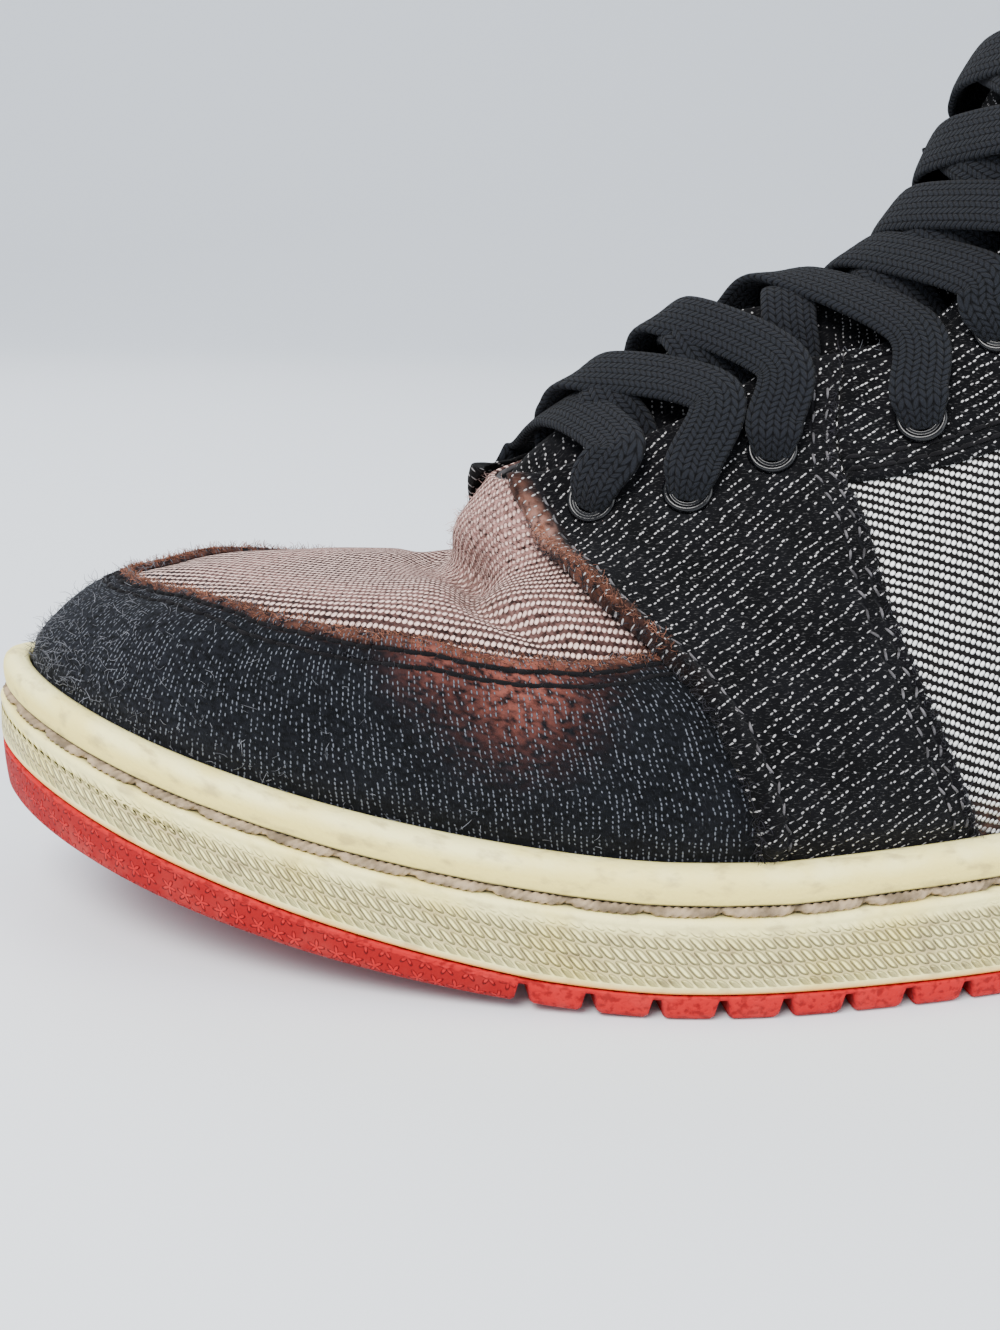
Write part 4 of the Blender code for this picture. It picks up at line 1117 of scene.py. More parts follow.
def at_distance(values: Array, distance: Array, wanted: float) -> Array:
    """Reads rows of values where a distance that grows along each row reaches a wanted one."""
    after = np.clip((distance < wanted).sum(axis=1), 1, distance.shape[1] - 1)
    pick = np.arange(len(values))
    low, high = distance[pick, after - 1], distance[pick, after]
    part = ((wanted - low) / np.maximum(high - low, 1e-9))[:, None]
    return values[pick, after - 1] * (1 - part) + values[pick, after] * part


def spot(points: Array, place: Place, width: float) -> Array:
    """Soft round mask on the upper about a station and level."""
    return bell(np.linalg.norm(points - LAST.surface(*place), axis=-1), width)


@dataclass
class Sheet:
    """A layer of cloth laid over the upper's creased face, with rolled or stitched sides."""

    name: str
    node: str
    slot: str
    place: Callable[[Array, Array], tuple[Array, Array]]
    spread: tuple[float, float]
    lift: float
    thickness: float
    grain: tuple[float, float, float] = (1.0, 0.0, 0.0)
    step: float = 1.35 * MM
    upright: bool = False
    roll: Seam | None = None
    roll_height: float = 0.0
    raised: float = 0.0
    seams: tuple[Seam, ...] = ()
    pressed: tuple[Place, ...] = ()
    outer: Array = field(init=False)
    gaps: dict[str, Array] = field(init=False)

    def _shares(self, length: float) -> Array:
        """Even steps along a side, with closer ones within two millimetres of its ends."""
        even = np.linspace(0, 1, max(round(length / self.step), 4))
        close = np.array([0.25, 0.6, 1.0, 1.6]) * MM / length
        return np.unique(np.concatenate([even, close, 1 - close]))

    def build(self, materials: Sequence[bpy.types.Material],
              masks: Masks | None = None) -> bpy.types.Object:
        """Lays the cloth and makes its piece.

        The outer face stands off the creased skin by lift and thickness; the thickness falls to
        a fifth at the sides along a quarter circle, dips by a bell at each seam and swells by a
        bell along the rolled side.

        Args:
            materials: The cloth's material.
            masks: Gives worn masks for the points and their distances to the sides.
        """
        along_u, along_v = self._shares(self.spread[0]), self._shares(self.spread[1])
        u, v = np.meshgrid(along_u, along_v, indexing="ij")
        station, level = self.place(u, v)
        face = LAST.surface(station, level)
        along, up = edge_lengths(face, 0), edge_lengths(face, 1)
        self.gaps = {"front": along, "rear": along[-1:] - along, "foot": up, "top": up[:, -1:] - up}
        nearest = np.minimum.reduce(list(self.gaps.values()))
        soft = np.sqrt(np.clip(1 - (1 - np.clip(nearest / (1.1 * MM), 0, 1)) ** 2, 0, 1))
        tuck = 0.35 + 0.65 * smooth(level, -0.05, 0.45)
        thick = self.thickness * tuck * (0.2 + 0.8 * soft)
        for seam in self.seams:
            thick = thick - 0.35 * MM * bell(self.gaps[seam.side] - seam.distance * MM, 0.7 * MM)
        lift = np.full(level.shape, self.lift)
        if self.roll is not None:
            gap = self.gaps[self.roll.side]
            swell = bell(gap - self.roll.distance * MM, self.roll.width * MM)
            thick = thick + self.roll_height * tuck * swell * soft
            lift = lift + self.raised * tuck * (1 - smooth(gap, 3 * MM, 9 * MM))
        for place in self.pressed:
            near = bell(np.linalg.norm(face - LAST.surface(*place), axis=-1), 2.6 * MM)
            thick = thick - 0.9 * MM * near**2
        self.outer = LAST.skin(station, level, lift + thick)
        inner = LAST.skin(station, level, lift)
        if self.upright:
            coarse = np.stack([up, np.broadcast_to(along.mean(axis=1, keepdims=True), up.shape)], axis=-1)
        else:
            coarse = flatten_panel(self._coarse, np.array(self.grain), along_u, along_v)
        points, faces = closed(self.outer, inner)
        marks = {key: gap / MM for key, gap in self.gaps.items()}
        marks |= {"rust": np.zeros(u.shape), "pale": np.zeros(u.shape), "lint": np.zeros(u.shape)}
        if masks is not None:
            marks |= masks(face, {key: gap / MM for key, gap in self.gaps.items()})
        values = {key: np.tile(value.ravel(), 2) for key, value in marks.items()}
        uv = np.tile(coarse.reshape(-1, 2), (2, 1))
        obj = Piece(self.name, points, faces, uv, values).build(materials, True)
        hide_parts(self.node)
        LOG.info("%s: %d faces", self.name, len(obj.data.polygons))
        return obj

    def _coarse(self, u: Array, v: Array) -> Array:
        """Points of the panel's face, for its flat pattern."""
        return LAST.surface(*self.place(u, v))

    def line(self, side: str, distance: float) -> Array:
        """Points along the cloth's face at a distance from one side, in metres."""
        rows = side in ("foot", "top")
        values = self.outer if rows else self.outer.swapaxes(0, 1)
        gap = self.gaps[side] if rows else self.gaps[side].T
        if side in ("rear", "top"):
            values, gap = values[:, ::-1], gap[:, ::-1]
        return at_distance(values, gap, distance)


def middle_of_stay(level: Array) -> Array:
    """Station under the middle of the front stay, where vamp and quarter meet unseen."""
    return (along_rows(STAY_FRONT, level) + along_rows(STAY_REAR, level)) / 2


@dataclass
class Upper:
    """The visible skin of the hollow upper: vamp, two quarters and the padded lining."""

    vamp_cloth: Twill = Twill("vamp_twill", tone(26, 11, 10), tone(248, 214, 202), -36.0,
                              row=1.75, pitch=0.95, slant=0.9, fill=0.26)
    side_cloth: Twill = Twill("white_twill", tone(20, 18, 18), tone(255, 255, 252), 16.0,
                              row=1.5, pitch=0.92)
    lining_cloth: PlainCloth = PlainCloth("lining", tone(66, 64, 66), 0.3)
    foot: float = -0.35

    def _vamp_place(self, u: Array, v: Array) -> tuple[Array, Array]:
        """The vamp runs round the toe from one stay to the other."""
        level = self.foot + (8.0 - self.foot) * v
        return (1 - 2 * u) * middle_of_stay(level), level

    def _quarter_place(self, turn: int) -> Callable[[Array, Array], tuple[Array, Array]]:
        """A quarter runs from under its stay to the heel."""
        def place(u: Array, v: Array) -> tuple[Array, Array]:
            """Station and level at shares u along and v up the cloth."""
            level = self.foot + (7.93 - self.foot) * v
            start = middle_of_stay(level)
            return turn * (start + (HEEL - start) * u), level
        return place

    @staticmethod
    def _vamp_masks(points: Array, gaps: dict[str, Array]) -> dict[str, Array]:
        """Pinkish haze towards the top of the bulge, dark dirt in the deep fold."""
        haze = 0.75 * spot(points, (0.2, 7.0), 17 * MM) + 0.45 * spot(points, (2.2, 6.8), 9 * MM)
        fold = spot(points, (3.0, 5.25), 6 * MM) + spot(points, (1.2, 6.0), 8 * MM)
        edge = 0.5 * bell(gaps["foot"] - 48.0, 9.0) * spot(points, (0.5, 4.5), 60 * MM)
        return {"lint": np.clip(haze + edge, 0, 0.8), "rust": np.clip(0.7 * fold, 0, 0.8)}

    @staticmethod
    def _quarter_masks(points: Array, gaps: dict[str, Array]) -> dict[str, Array]:
        """Dirt rising from the sole's lip."""
        return {"rust": 0.75 * (1 - smooth(gaps["foot"], 4.5, 13.0))}

    def build(self) -> None:
        """Builds the four pieces."""
        Sheet("vamp", "upper", "white_twill", self._vamp_place, (400 * MM, 96 * MM), -1.0 * MM,
              1.0 * MM, step=1.4 * MM).build([self.vamp_cloth.make()], self._vamp_masks)
        side = self.side_cloth.make()
        for name, turn in (("quarter_outer", 1), ("quarter_inner", -1)):
            Sheet(name, "upper", "white_twill", self._quarter_place(turn), (180 * MM, 130 * MM),
                  -1.0 * MM, 1.0 * MM).build([side], self._quarter_masks)
        self._lining()

    def _lining(self) -> None:
        """Inner wall all round, thick at the collar, its top rolled over as a half circle."""
        stations, levels = np.linspace(0, STATIONS, 281)[:-1], np.linspace(-1, 8, 60)
        station, level = np.meshgrid(stations, levels, indexing="ij")
        base = LAST.surface(station, level)
        outer = LAST.skin(station, level, -1.25 * MM)
        inner = LAST.skin(station, level, -LAST.wall_at(station, level))
        rise = unit(base[:, -1] - base[:, -2])
        centre, reach = (outer[:, -1] + inner[:, -1]) / 2, (inner[:, -1] - outer[:, -1]) / 2
        angle = np.linspace(0, math.pi, 9)[1:-1]
        span = np.linalg.norm(reach, axis=1)[:, None, None]
        rim = centre[:, None] - reach[:, None] * np.cos(angle)[None, :, None]
        rim = rim + rise[:, None] * span * np.sin(angle)[None, :, None]
        sheet = np.concatenate([outer, rim, inner[:, ::-1]], axis=1)
        rows, columns = sheet.shape[:2]
        index = np.arange(rows * columns).reshape(rows, columns)
        after = np.roll(index, -1, axis=0)
        foot = np.column_stack([index[:, -1], after[:, -1], after[:, 0], index[:, 0]])
        obj = Piece("lining", sheet.reshape(-1, 3), [grid_quads(rows, columns, 0, True), foot])
        made = obj.build([self.lining_cloth.make()], True)
        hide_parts("upper")
        LOG.info("lining: %d faces", len(made.data.polygons))


@dataclass
class Overlays:
    """The dark panels sewn over the upper: toe guard, stays, ankle panels and heel counter."""

    guard: Sheet = field(init=False)
    stays: dict[int, Sheet] = field(init=False)
    panels: dict[int, Sheet] = field(init=False)
    counter: Sheet = field(init=False)
    guard_seams: tuple[Seam, ...] = (Seam("top", 2.7, 0.45), Seam("top", 5.0, 0.4))
    stay_seams: tuple[Seam, ...] = (Seam("front", 5.2), Seam("rear", 2.0, 0.4), Seam("rear", 4.3, 0.4))
    panel_seams: tuple[Seam, ...] = (Seam("foot", 2.0, 0.4), Seam("foot", 4.2, 0.4), Seam("top", 3.0, 0.4))
    counter_seams: tuple[Seam, ...] = (Seam("top", 2.0, 0.4), Seam("front", 2.0, 0.4),
                                       Seam("rear", 2.0, 0.4))

    def __post_init__(self) -> None:
        """Lays out the panels' outlines."""
        eyelets = {turn: tuple((turn * s, v) for s, v in EYELETS) for turn in (1, -1)}
        self.guard = Sheet("toe_guard_cloth", "toe_guard", "navy_denim", self._guard_place,
                           (400 * MM, 46 * MM), 0.15 * MM, 0.95 * MM, step=1.3 * MM, upright=True,
                           roll=Seam("top", 1.4, 1.2), roll_height=0.45 * MM, seams=self.guard_seams)
        self.stays, self.panels = {}, {}
        for side, turn in (("outer", 1), ("inner", -1)):
            self.stays[turn] = Sheet(
                f"front_stay_{side}_cloth", f"front_stay_{side}", "black_denim", self._stay_place(turn),
                (60 * MM, 125 * MM), 0.3 * MM, 1.3 * MM, step=1.15 * MM, roll=Seam("front", 2.3, 1.9),
                roll_height=1.1 * MM, raised=1.0 * MM, seams=self.stay_seams, pressed=eyelets[turn][:4])
            self.panels[turn] = Sheet(
                f"ankle_panel_{side}_cloth", f"ankle_panel_{side}", "black_denim", self._panel_place(turn),
                (170 * MM, 70 * MM), 0.3 * MM, 1.3 * MM, seams=self.panel_seams, pressed=eyelets[turn][4:])
        self.counter = Sheet("heel_counter_cloth", "heel_counter", "black_denim", self._counter_place,
                             (130 * MM, 62 * MM), 0.3 * MM, 1.3 * MM, grain=(0.0, 1.0, 0.0),
                             seams=self.counter_seams)

    @staticmethod
    def _guard_place(u: Array, v: Array) -> tuple[Array, Array]:
        """From the lip up to the guard's wavy top edge, back to just under the stays."""
        across = 1 - 2 * u
        top = np.interp(np.abs(across), [0, 0.12, 0.33, 0.48, 0.61, 0.72, 0.80, 0.88, 0.94, 1.0],
                        [2.40, 2.50, 2.86, 3.08, 3.36, 3.58, 3.60, 3.74, 3.96, 4.14])
        top = top + 0.012 * np.sin(across * 47) + 0.008 * np.sin(across * 113 + 1)
        level = -0.1 + (top + 0.1) * v
        return across * (along_rows(STAY_FRONT, level) + 0.13), level

    @staticmethod
    def _stay_place(turn: int) -> Callable[[Array, Array], tuple[Array, Array]]:
        """From the sole up to the throat's edge, narrow at the foot."""
        def place(u: Array, v: Array) -> tuple[Array, Array]:
            """Station and level at shares u along and v up the cloth."""
            level = -0.1 + (7.99 + 0.1) * v
            front, rear = along_rows(STAY_FRONT, level), along_rows(STAY_REAR, level)
            ragged = 0.008 * np.sin(level * 23) + 0.006 * np.sin(level * 51 + turn)
            return turn * (front + (rear - front) * u + ragged), level
        return place

    @staticmethod
    def _panel_place(turn: int) -> Callable[[Array, Array], tuple[Array, Array]]:
        """From the stay back to the heel, between the collar and a sloping lower edge."""
        def place(u: Array, v: Array) -> tuple[Array, Array]:
            """Station and level at shares u along and v up the cloth."""
            lower = np.interp(5.66 + 5.34 * u, [5.66, 6.06, 6.55, 7.2, 8.0, 9.0, 10.0, 11.0],
                              [6.56, 6.37, 6.08, 5.55, 5.0, 4.7, 4.6, 4.6])
            level = lower + (8.0 - lower) * v
            edge = along_rows(STAY_REAR, level) + 0.006
            return turn * (edge + (HEEL - 0.004 - edge) * u), level
        return place

    @staticmethod
    def _counter_place(u: Array, v: Array) -> tuple[Array, Array]:
        """Round the heel, from the lip up to under the ankle panels."""
        share = 2 * u - 1
        top = 4.55 - 0.6 * np.clip(np.abs(share) - 0.2, 0, 1) ** 1.5
        level = -0.1 + (top + 0.1) * v
        return HEEL + share * (HEEL - along_rows(COUNTER_FRONT, level)), level

    @staticmethod
    def _guard_masks(points: Array, gaps: dict[str, Array]) -> dict[str, Array]:
        """Lint round the toe, a faded patch by the outer stay, and the rusty raw edge."""
        edge = 1 - smooth(gaps["top"], 1.6, 3.4)
        pale = 0.8 * spot(points, (3.95, 3.15), 8 * MM) + 0.6 * spot(points, (3.5, 3.35), 5 * MM)
        lint = 0.15 + 0.4 * spot(points, (0.0, 1.0), 42 * MM)
        return {"rust": 0.8 * edge, "pale": np.clip(pale, 0, 0.8), "lint": lint}

    @staticmethod
    def _stay_masks(points: Array, gaps: dict[str, Array]) -> dict[str, Array]:
        """Rusty wear along the rolled front edge, most beside the deep fold."""
        worn = 0.9 * spot(points, (3.6, 5.9), 15 * MM) + 0.6 * spot(points, (2.6, 6.9), 9 * MM)
        front = 1 - smooth(gaps["front"], 2.4, 5.2)
        pale = spot(points, (2.9, 6.8), 7 * MM) * (1 - smooth(gaps["front"], 2.0, 6.0))
        return {"rust": np.clip(front * worn, 0, 0.85), "pale": 0.7 * pale}

    def build(self) -> None:
        """Builds the six panels."""
        guard = Denim("navy_denim", tone(7, 8, 10), tone(88, 91, 98), 6.0, 0.92, 0.84, 0.38, 0.16, 0.66,
                      lint=tone(38, 40, 47), pale=tone(140, 80, 68), seams=self.guard_seams)
        self.guard.build([guard.make()], self._guard_masks)
        for turn, lean in ((1, -35.0), (-1, 35.0)):
            cloth = Denim(f"black_denim_{'outer' if turn > 0 else 'inner'}_stay", tone(8, 8, 10),
                          tone(160, 158, 158), lean, 1.68, 0.9, 0.36, 0.1, 0.78, seams=self.stay_seams)
            self.stays[turn].build([cloth.make()], self._stay_masks)
        panel = Denim("black_denim", tone(8, 8, 10), tone(180, 178, 178), -36.0, 1.68, 0.9, 0.36, 0.1, 0.8,
                      seams=self.panel_seams)
        material = panel.make()
        for turn in (1, -1):
            self.panels[turn].build([material])
        heel = Denim("black_denim_heel", tone(8, 8, 10), tone(180, 178, 178), 0.0, 1.68, 0.9, 0.36, 0.1, 0.8,
                     seams=self.counter_seams)
        self.counter.build([heel.make()])


@dataclass(frozen=True)
class Rail:
    """One line of a sole's profile: how far in from the outline and how far from a base height."""

    inset: float
    base: str
    offset: float


def rail_points(rails: Sequence[Rail], share: Array) -> Array:
    """Grid of points round the sole, one column for each rail."""
    heights = {"spring": LAST.spring, "border": LAST.border, "groove": LAST.groove,
               "lip": LAST.lip, "floor": LAST.floor}
    loops = [
        LAST.ring(rail.inset * MM, lambda x, r=rail: heights[r.base](x) + r.offset * MM, share)
        for rail in rails
    ]
    return np.stack(loops, axis=1)


def cap_faces(count: int, columns: int, column: int, turned_over: bool) -> list[Array]:
    """Faces that close one end of a sole's grid, from its outer side across to its inner side."""
    half = count // 2
    left = np.arange(1, half)
    right = count - left
    index = column
    quads = np.column_stack([left[:-1], left[1:], right[1:], right[:-1]]) * columns + index
    tips = [np.array([[0, 1, count - 1]]) * columns + index,
            np.array([[half - 1, half, half + 1]]) * columns + index]
    faces = [quads, *tips]
    return [face[:, ::-1] for face in faces] if turned_over else faces


@dataclass
class Sole:
    """Cream cup with its stitched groove, red outsole with its lugs, and the insole."""

    cup_rails: tuple[Rail, ...] = (
        Rail(6.0, "border", 0.15), Rail(0.9, "border", 0.15), Rail(0.35, "border", 0.3),
        Rail(0.05, "border", 0.8), Rail(0.0, "border", 1.6), Rail(0.05, "border", 3.2),
        Rail(0.1, "border", 4.8), Rail(0.2, "border", 6.4), Rail(0.3, "groove", -5.0),
        Rail(0.35, "groove", -3.6), Rail(0.3, "groove", -2.7), Rail(0.15, "groove", -2.2),
        Rail(0.25, "groove", -1.7), Rail(0.6, "groove", -1.25), Rail(1.2, "groove", -1.1),
        Rail(2.2, "groove", -1.0), Rail(3.0, "groove", -0.7), Rail(3.2, "groove", -0.1),
        Rail(2.9, "groove", 0.45), Rail(2.1, "groove", 0.7), Rail(1.5, "groove", 0.85),
        Rail(1.15, "groove", 1.3), Rail(1.0, "groove", 2.4), Rail(0.95, "groove", 3.4),
        Rail(1.05, "lip", -2.4), Rail(1.35, "lip", -1.5), Rail(1.9, "lip", -0.75),
        Rail(2.7, "lip", -0.25), Rail(3.6, "lip", -0.02), Rail(4.6, "lip", 0.0),
        Rail(5.4, "lip", -0.15), Rail(5.75, "lip", -0.7), Rail(5.8, "lip", -3.0),
        Rail(5.8, "floor", 0.0),
    )
    rope_radius: float = 0.78 * MM
    rope_pitch: float = 4.2 * MM
    stitch_length: float = 12.0 * MM
    lug_first: float = 88 * MM
    lug_pitch: float = 10.5 * MM
    lug_count: int = 20
    lug_depth: float = 3.4
    cream: CreamRubber = CreamRubber()
    red: RedRubber = RedRubber()
    rope_cloth: PlainCloth = PlainCloth("groove_rope", tone(142, 124, 100), 0.45)
    insole_cloth: PlainCloth = PlainCloth("grey_foam", tone(96, 92, 88), 0.3)

    @staticmethod
    def _arc(points: Array) -> Array:
        """Distance round the sole of each ring point, from the toe, along the first column."""
        loop = points[:, points.shape[1] // 2]
        steps = np.linalg.norm(np.diff(loop, axis=0), axis=1)
        return np.concatenate([[0], np.cumsum(steps)])

    def build_midsole(self) -> None:
        """The cup: rounded profile lines swept round the outline, closed above and below."""
        points = rail_points(self.cup_rails, LAST.columns(300))
        rows, columns = points.shape[:2]
        faces = [grid_quads(rows, columns, 0, True)]
        faces += cap_faces(rows, columns, 0, False) + cap_faces(rows, columns, columns - 1, True)
        arc = self._arc(points)[:, None]
        up = edge_lengths(points, 1)
        up = up - up[:, 3:4]
        uv = np.stack(np.broadcast_arrays(arc, up), axis=-1)
        x, z = points[..., 0], points[..., 2]
        above = (z - LAST.border(x)) / MM
        below_groove = (LAST.groove(x) - z) / MM
        column = np.arange(columns)[None, :]
        side = (column >= 3) & (column <= 11)
        ribs = smooth(above, 1.7, 2.3) * smooth(below_groove, 3.4, 4.2) * side
        lip = (column >= 21) & (column <= 30)
        yellow = np.where(lip, 0.25 + 0.75 * smooth((LAST.lip(x) - z) / MM, 1.0, 3.5), 0.35)
        glue = (1 - smooth(above, 0.5, 1.1)) * (column >= 2) * (column < 12)
        shade = np.where((column >= 15) & (column <= 20), 0.85, 0.0)
        shade = np.where(column >= 30, smooth(column.astype(float), 29.0, 32.0), shade)
        stain = bell(x - 198 * MM, 16 * MM) * side * (points[..., 1] < 0) * 0.8
        values = {"rib": ribs, "yellow": yellow, "glue": glue,
                  "shade": shade * np.ones_like(x), "stain": stain}
        obj = Piece("midsole_rubber", points, faces, uv, values).build([self.cream.make()], True)
        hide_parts("midsole")
        LOG.info("midsole_rubber: %d faces", len(obj.data.polygons))

    def build_rope(self) -> None:
        """Twisted thread in the groove.

        Its radius swells three times round each section, the swelling turning once every pitch, and
        its middle sinks into the groove at the end of every stitch.
        """
        share = LAST.columns(560)
        loop = LAST.ring(1.55 * MM, lambda x: LAST.groove(x) - 0.2 * MM, share)
        deep = LAST.ring(2.9 * MM, lambda x: LAST.groove(x) - 0.1 * MM, share)
        steps = np.linalg.norm(np.diff(loop, axis=0, append=loop[:1]), axis=1)
        arc = np.concatenate([[0], np.cumsum(steps)[:-1]])
        even = np.arange(0, steps.sum(), 0.45 * MM)
        middle = np.stack([np.interp(even, arc, loop[:, k]) for k in range(3)], axis=1)
        inner = np.stack([np.interp(even, arc, deep[:, k]) for k in range(3)], axis=1)
        phase = even / self.stitch_length + 0.12 * np.sin(even / (31 * MM))
        dive = np.abs(np.cos(math.pi * phase)) ** 14
        middle = middle + (inner - middle) * (0.75 * dive)[:, None]
        tangent = unit(np.roll(middle, -1, axis=0) - np.roll(middle, 1, axis=0))
        side = unit(np.cross(tangent, [0.0, 0.0, 1.0]))
        over = np.cross(side, tangent)
        turn = np.arange(14) * 2 * math.pi / 14
        twist = 2 * math.pi * even / self.rope_pitch
        swell = 1 + 0.24 * np.cos(3 * (turn[None, :] - twist[:, None]))
        radius = self.rope_radius * swell * (1 - 0.25 * dive)[:, None]
        spokes = side[:, None] * np.cos(turn)[None, :, None] + over[:, None] * np.sin(turn)[None, :, None]
        points = middle[:, None] + spokes * radius[..., None]
        count = len(turn)
        index = np.arange(points.shape[0] * count).reshape(-1, count)
        after, around = np.roll(index, -1, axis=0), np.roll(index, -1, axis=1)
        faces = [np.stack([index, after, np.roll(after, -1, axis=1), around], axis=-1).reshape(-1, 4)]
        obj = Piece("groove_rope", points, faces).build([self.rope_cloth.make()], True)
        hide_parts("midsole")
        LOG.info("groove_rope: %d faces", len(obj.data.polygons))

    def _outsole_shares(self) -> Array:
        """Columns along the outsole: fine at the toe, with four for each gap between lugs."""
        centre = self.lug_first + self.lug_pitch * np.arange(self.lug_count)
        edges = (centre[:, None] + np.array([-1.9, -1.3, -0.7, 0.7, 1.3, 1.9]) * MM).ravel() / LAST.length
        toe = LAST.columns(300)
        toe = toe[toe < (self.lug_first - 2.5 * MM) / LAST.length]
        rest = np.linspace(toe[-1], 1, 200)
        near = np.abs(rest[:, None] - centre[None, :] / LAST.length).min(axis=1) > 2.6 * MM / LAST.length
        heel = LAST.columns(200)
        heel = heel[heel > 0.97]
        return np.unique(np.concatenate([toe, rest[near & (rest < 0.97)], edges, heel]))

    def build_outsole(self) -> None:
        """Red sheet, lofted in columns from the toe, with lugs behind its smooth toe.

        A gap between two lugs lifts the underside by its depth, over a ramp on both sides.
        """
        share = self._outsole_shares()
        centre = self.lug_first + self.lug_pitch * np.arange(self.lug_count)

        def lifted(x: Array, amount: float) -> Array:
            """Height of the underside a little above its lowest face, raised between the lugs."""
            gap = np.abs(x[:, None] - centre[None, :]).min(axis=1)
            ramp = 1 - smooth(gap, 0.6 * MM, 1.5 * MM)
            return LAST.spring(x) + amount * MM + (self.lug_depth - 0.6 * amount) * MM * ramp

        def part(way: float) -> Callable[[Array], Array]:
            """Height at a share of the way up the side."""
            def height(x: Array) -> Array:
                """Height at lengths x from the toe."""
                low, high = lifted(x, 1.2), LAST.border(x) - 0.15 * MM
                return low + (high - low) * way
            return height

        side = [(0.15 + 0.55 * (1 - way) ** 2, part(way)) for way in np.linspace(1, 0, 12)]
        steps = ((1.1, 0.55), (1.7, 0.15), (2.6, 0.0), (7.0, 0.0))
        foot = [(inset, lambda x, up=up: lifted(x, up)) for inset, up in steps]
        loops = [LAST.ring(0.9 * MM, lambda x: LAST.border(x) - 0.15 * MM, share)]
        loops += [LAST.ring(inset * MM, height, share) for inset, height in side + foot]
        points = np.stack(loops, axis=1)
        rows, columns = points.shape[:2]
        arc = self._arc(points)
        down = edge_lengths(points, 1)
        faces = [grid_quads(rows, columns, 0, True)]
        faces += cap_faces(rows, columns, 0, False) + cap_faces(rows, columns, columns - 1, True)
        gap = np.abs(points[..., 0][..., None] - centre).min(axis=-1)
        shade = (1 - smooth(gap, 0.5 * MM, 1.2 * MM)) * smooth(down, 1.5 * MM, 3.0 * MM) * 0.8
        front = 1 - smooth(points[..., 0], self.lug_first - 4 * MM, self.lug_first)
        toe = front * smooth(down, 1.6 * MM, 2.4 * MM)
        uv = np.stack(np.broadcast_arrays(arc[:, None], down), axis=-1)
        values = {"worn": 0.3 + 0.7 * smooth(down, 3 * MM, 7 * MM), "shade": shade, "toe": toe}
        obj = Piece("outsole_rubber", points, faces, uv, values).build([self.red.make()], True)
        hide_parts("outsole")
        LOG.info("outsole_rubber: %d faces", len(obj.data.polygons))

    def build_insole(self) -> None:
        """Plate on the cup's floor with a softly rounded edge."""
        rails = (Rail(9.4, "floor", 0.3), Rail(9.2, "floor", 1.8),
                 Rail(9.3, "floor", 3.4), Rail(10.4, "floor", 4.2))
        points = rail_points(rails, LAST.columns(90))
        rows, columns = points.shape[:2]
        faces = [grid_quads(rows, columns, 0, True)]
        faces += cap_faces(rows, columns, 0, False) + cap_faces(rows, columns, columns - 1, True)
        obj = Piece("insole_foam", points, faces).build([self.insole_cloth.make()], True)
        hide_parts("insole")
        LOG.info("insole_foam: %d faces", len(obj.data.polygons))

    def build(self) -> None:
        """Builds the sole from the ground up."""
        self.build_outsole()
        self.build_midsole()
        self.build_rope()
        self.build_insole()


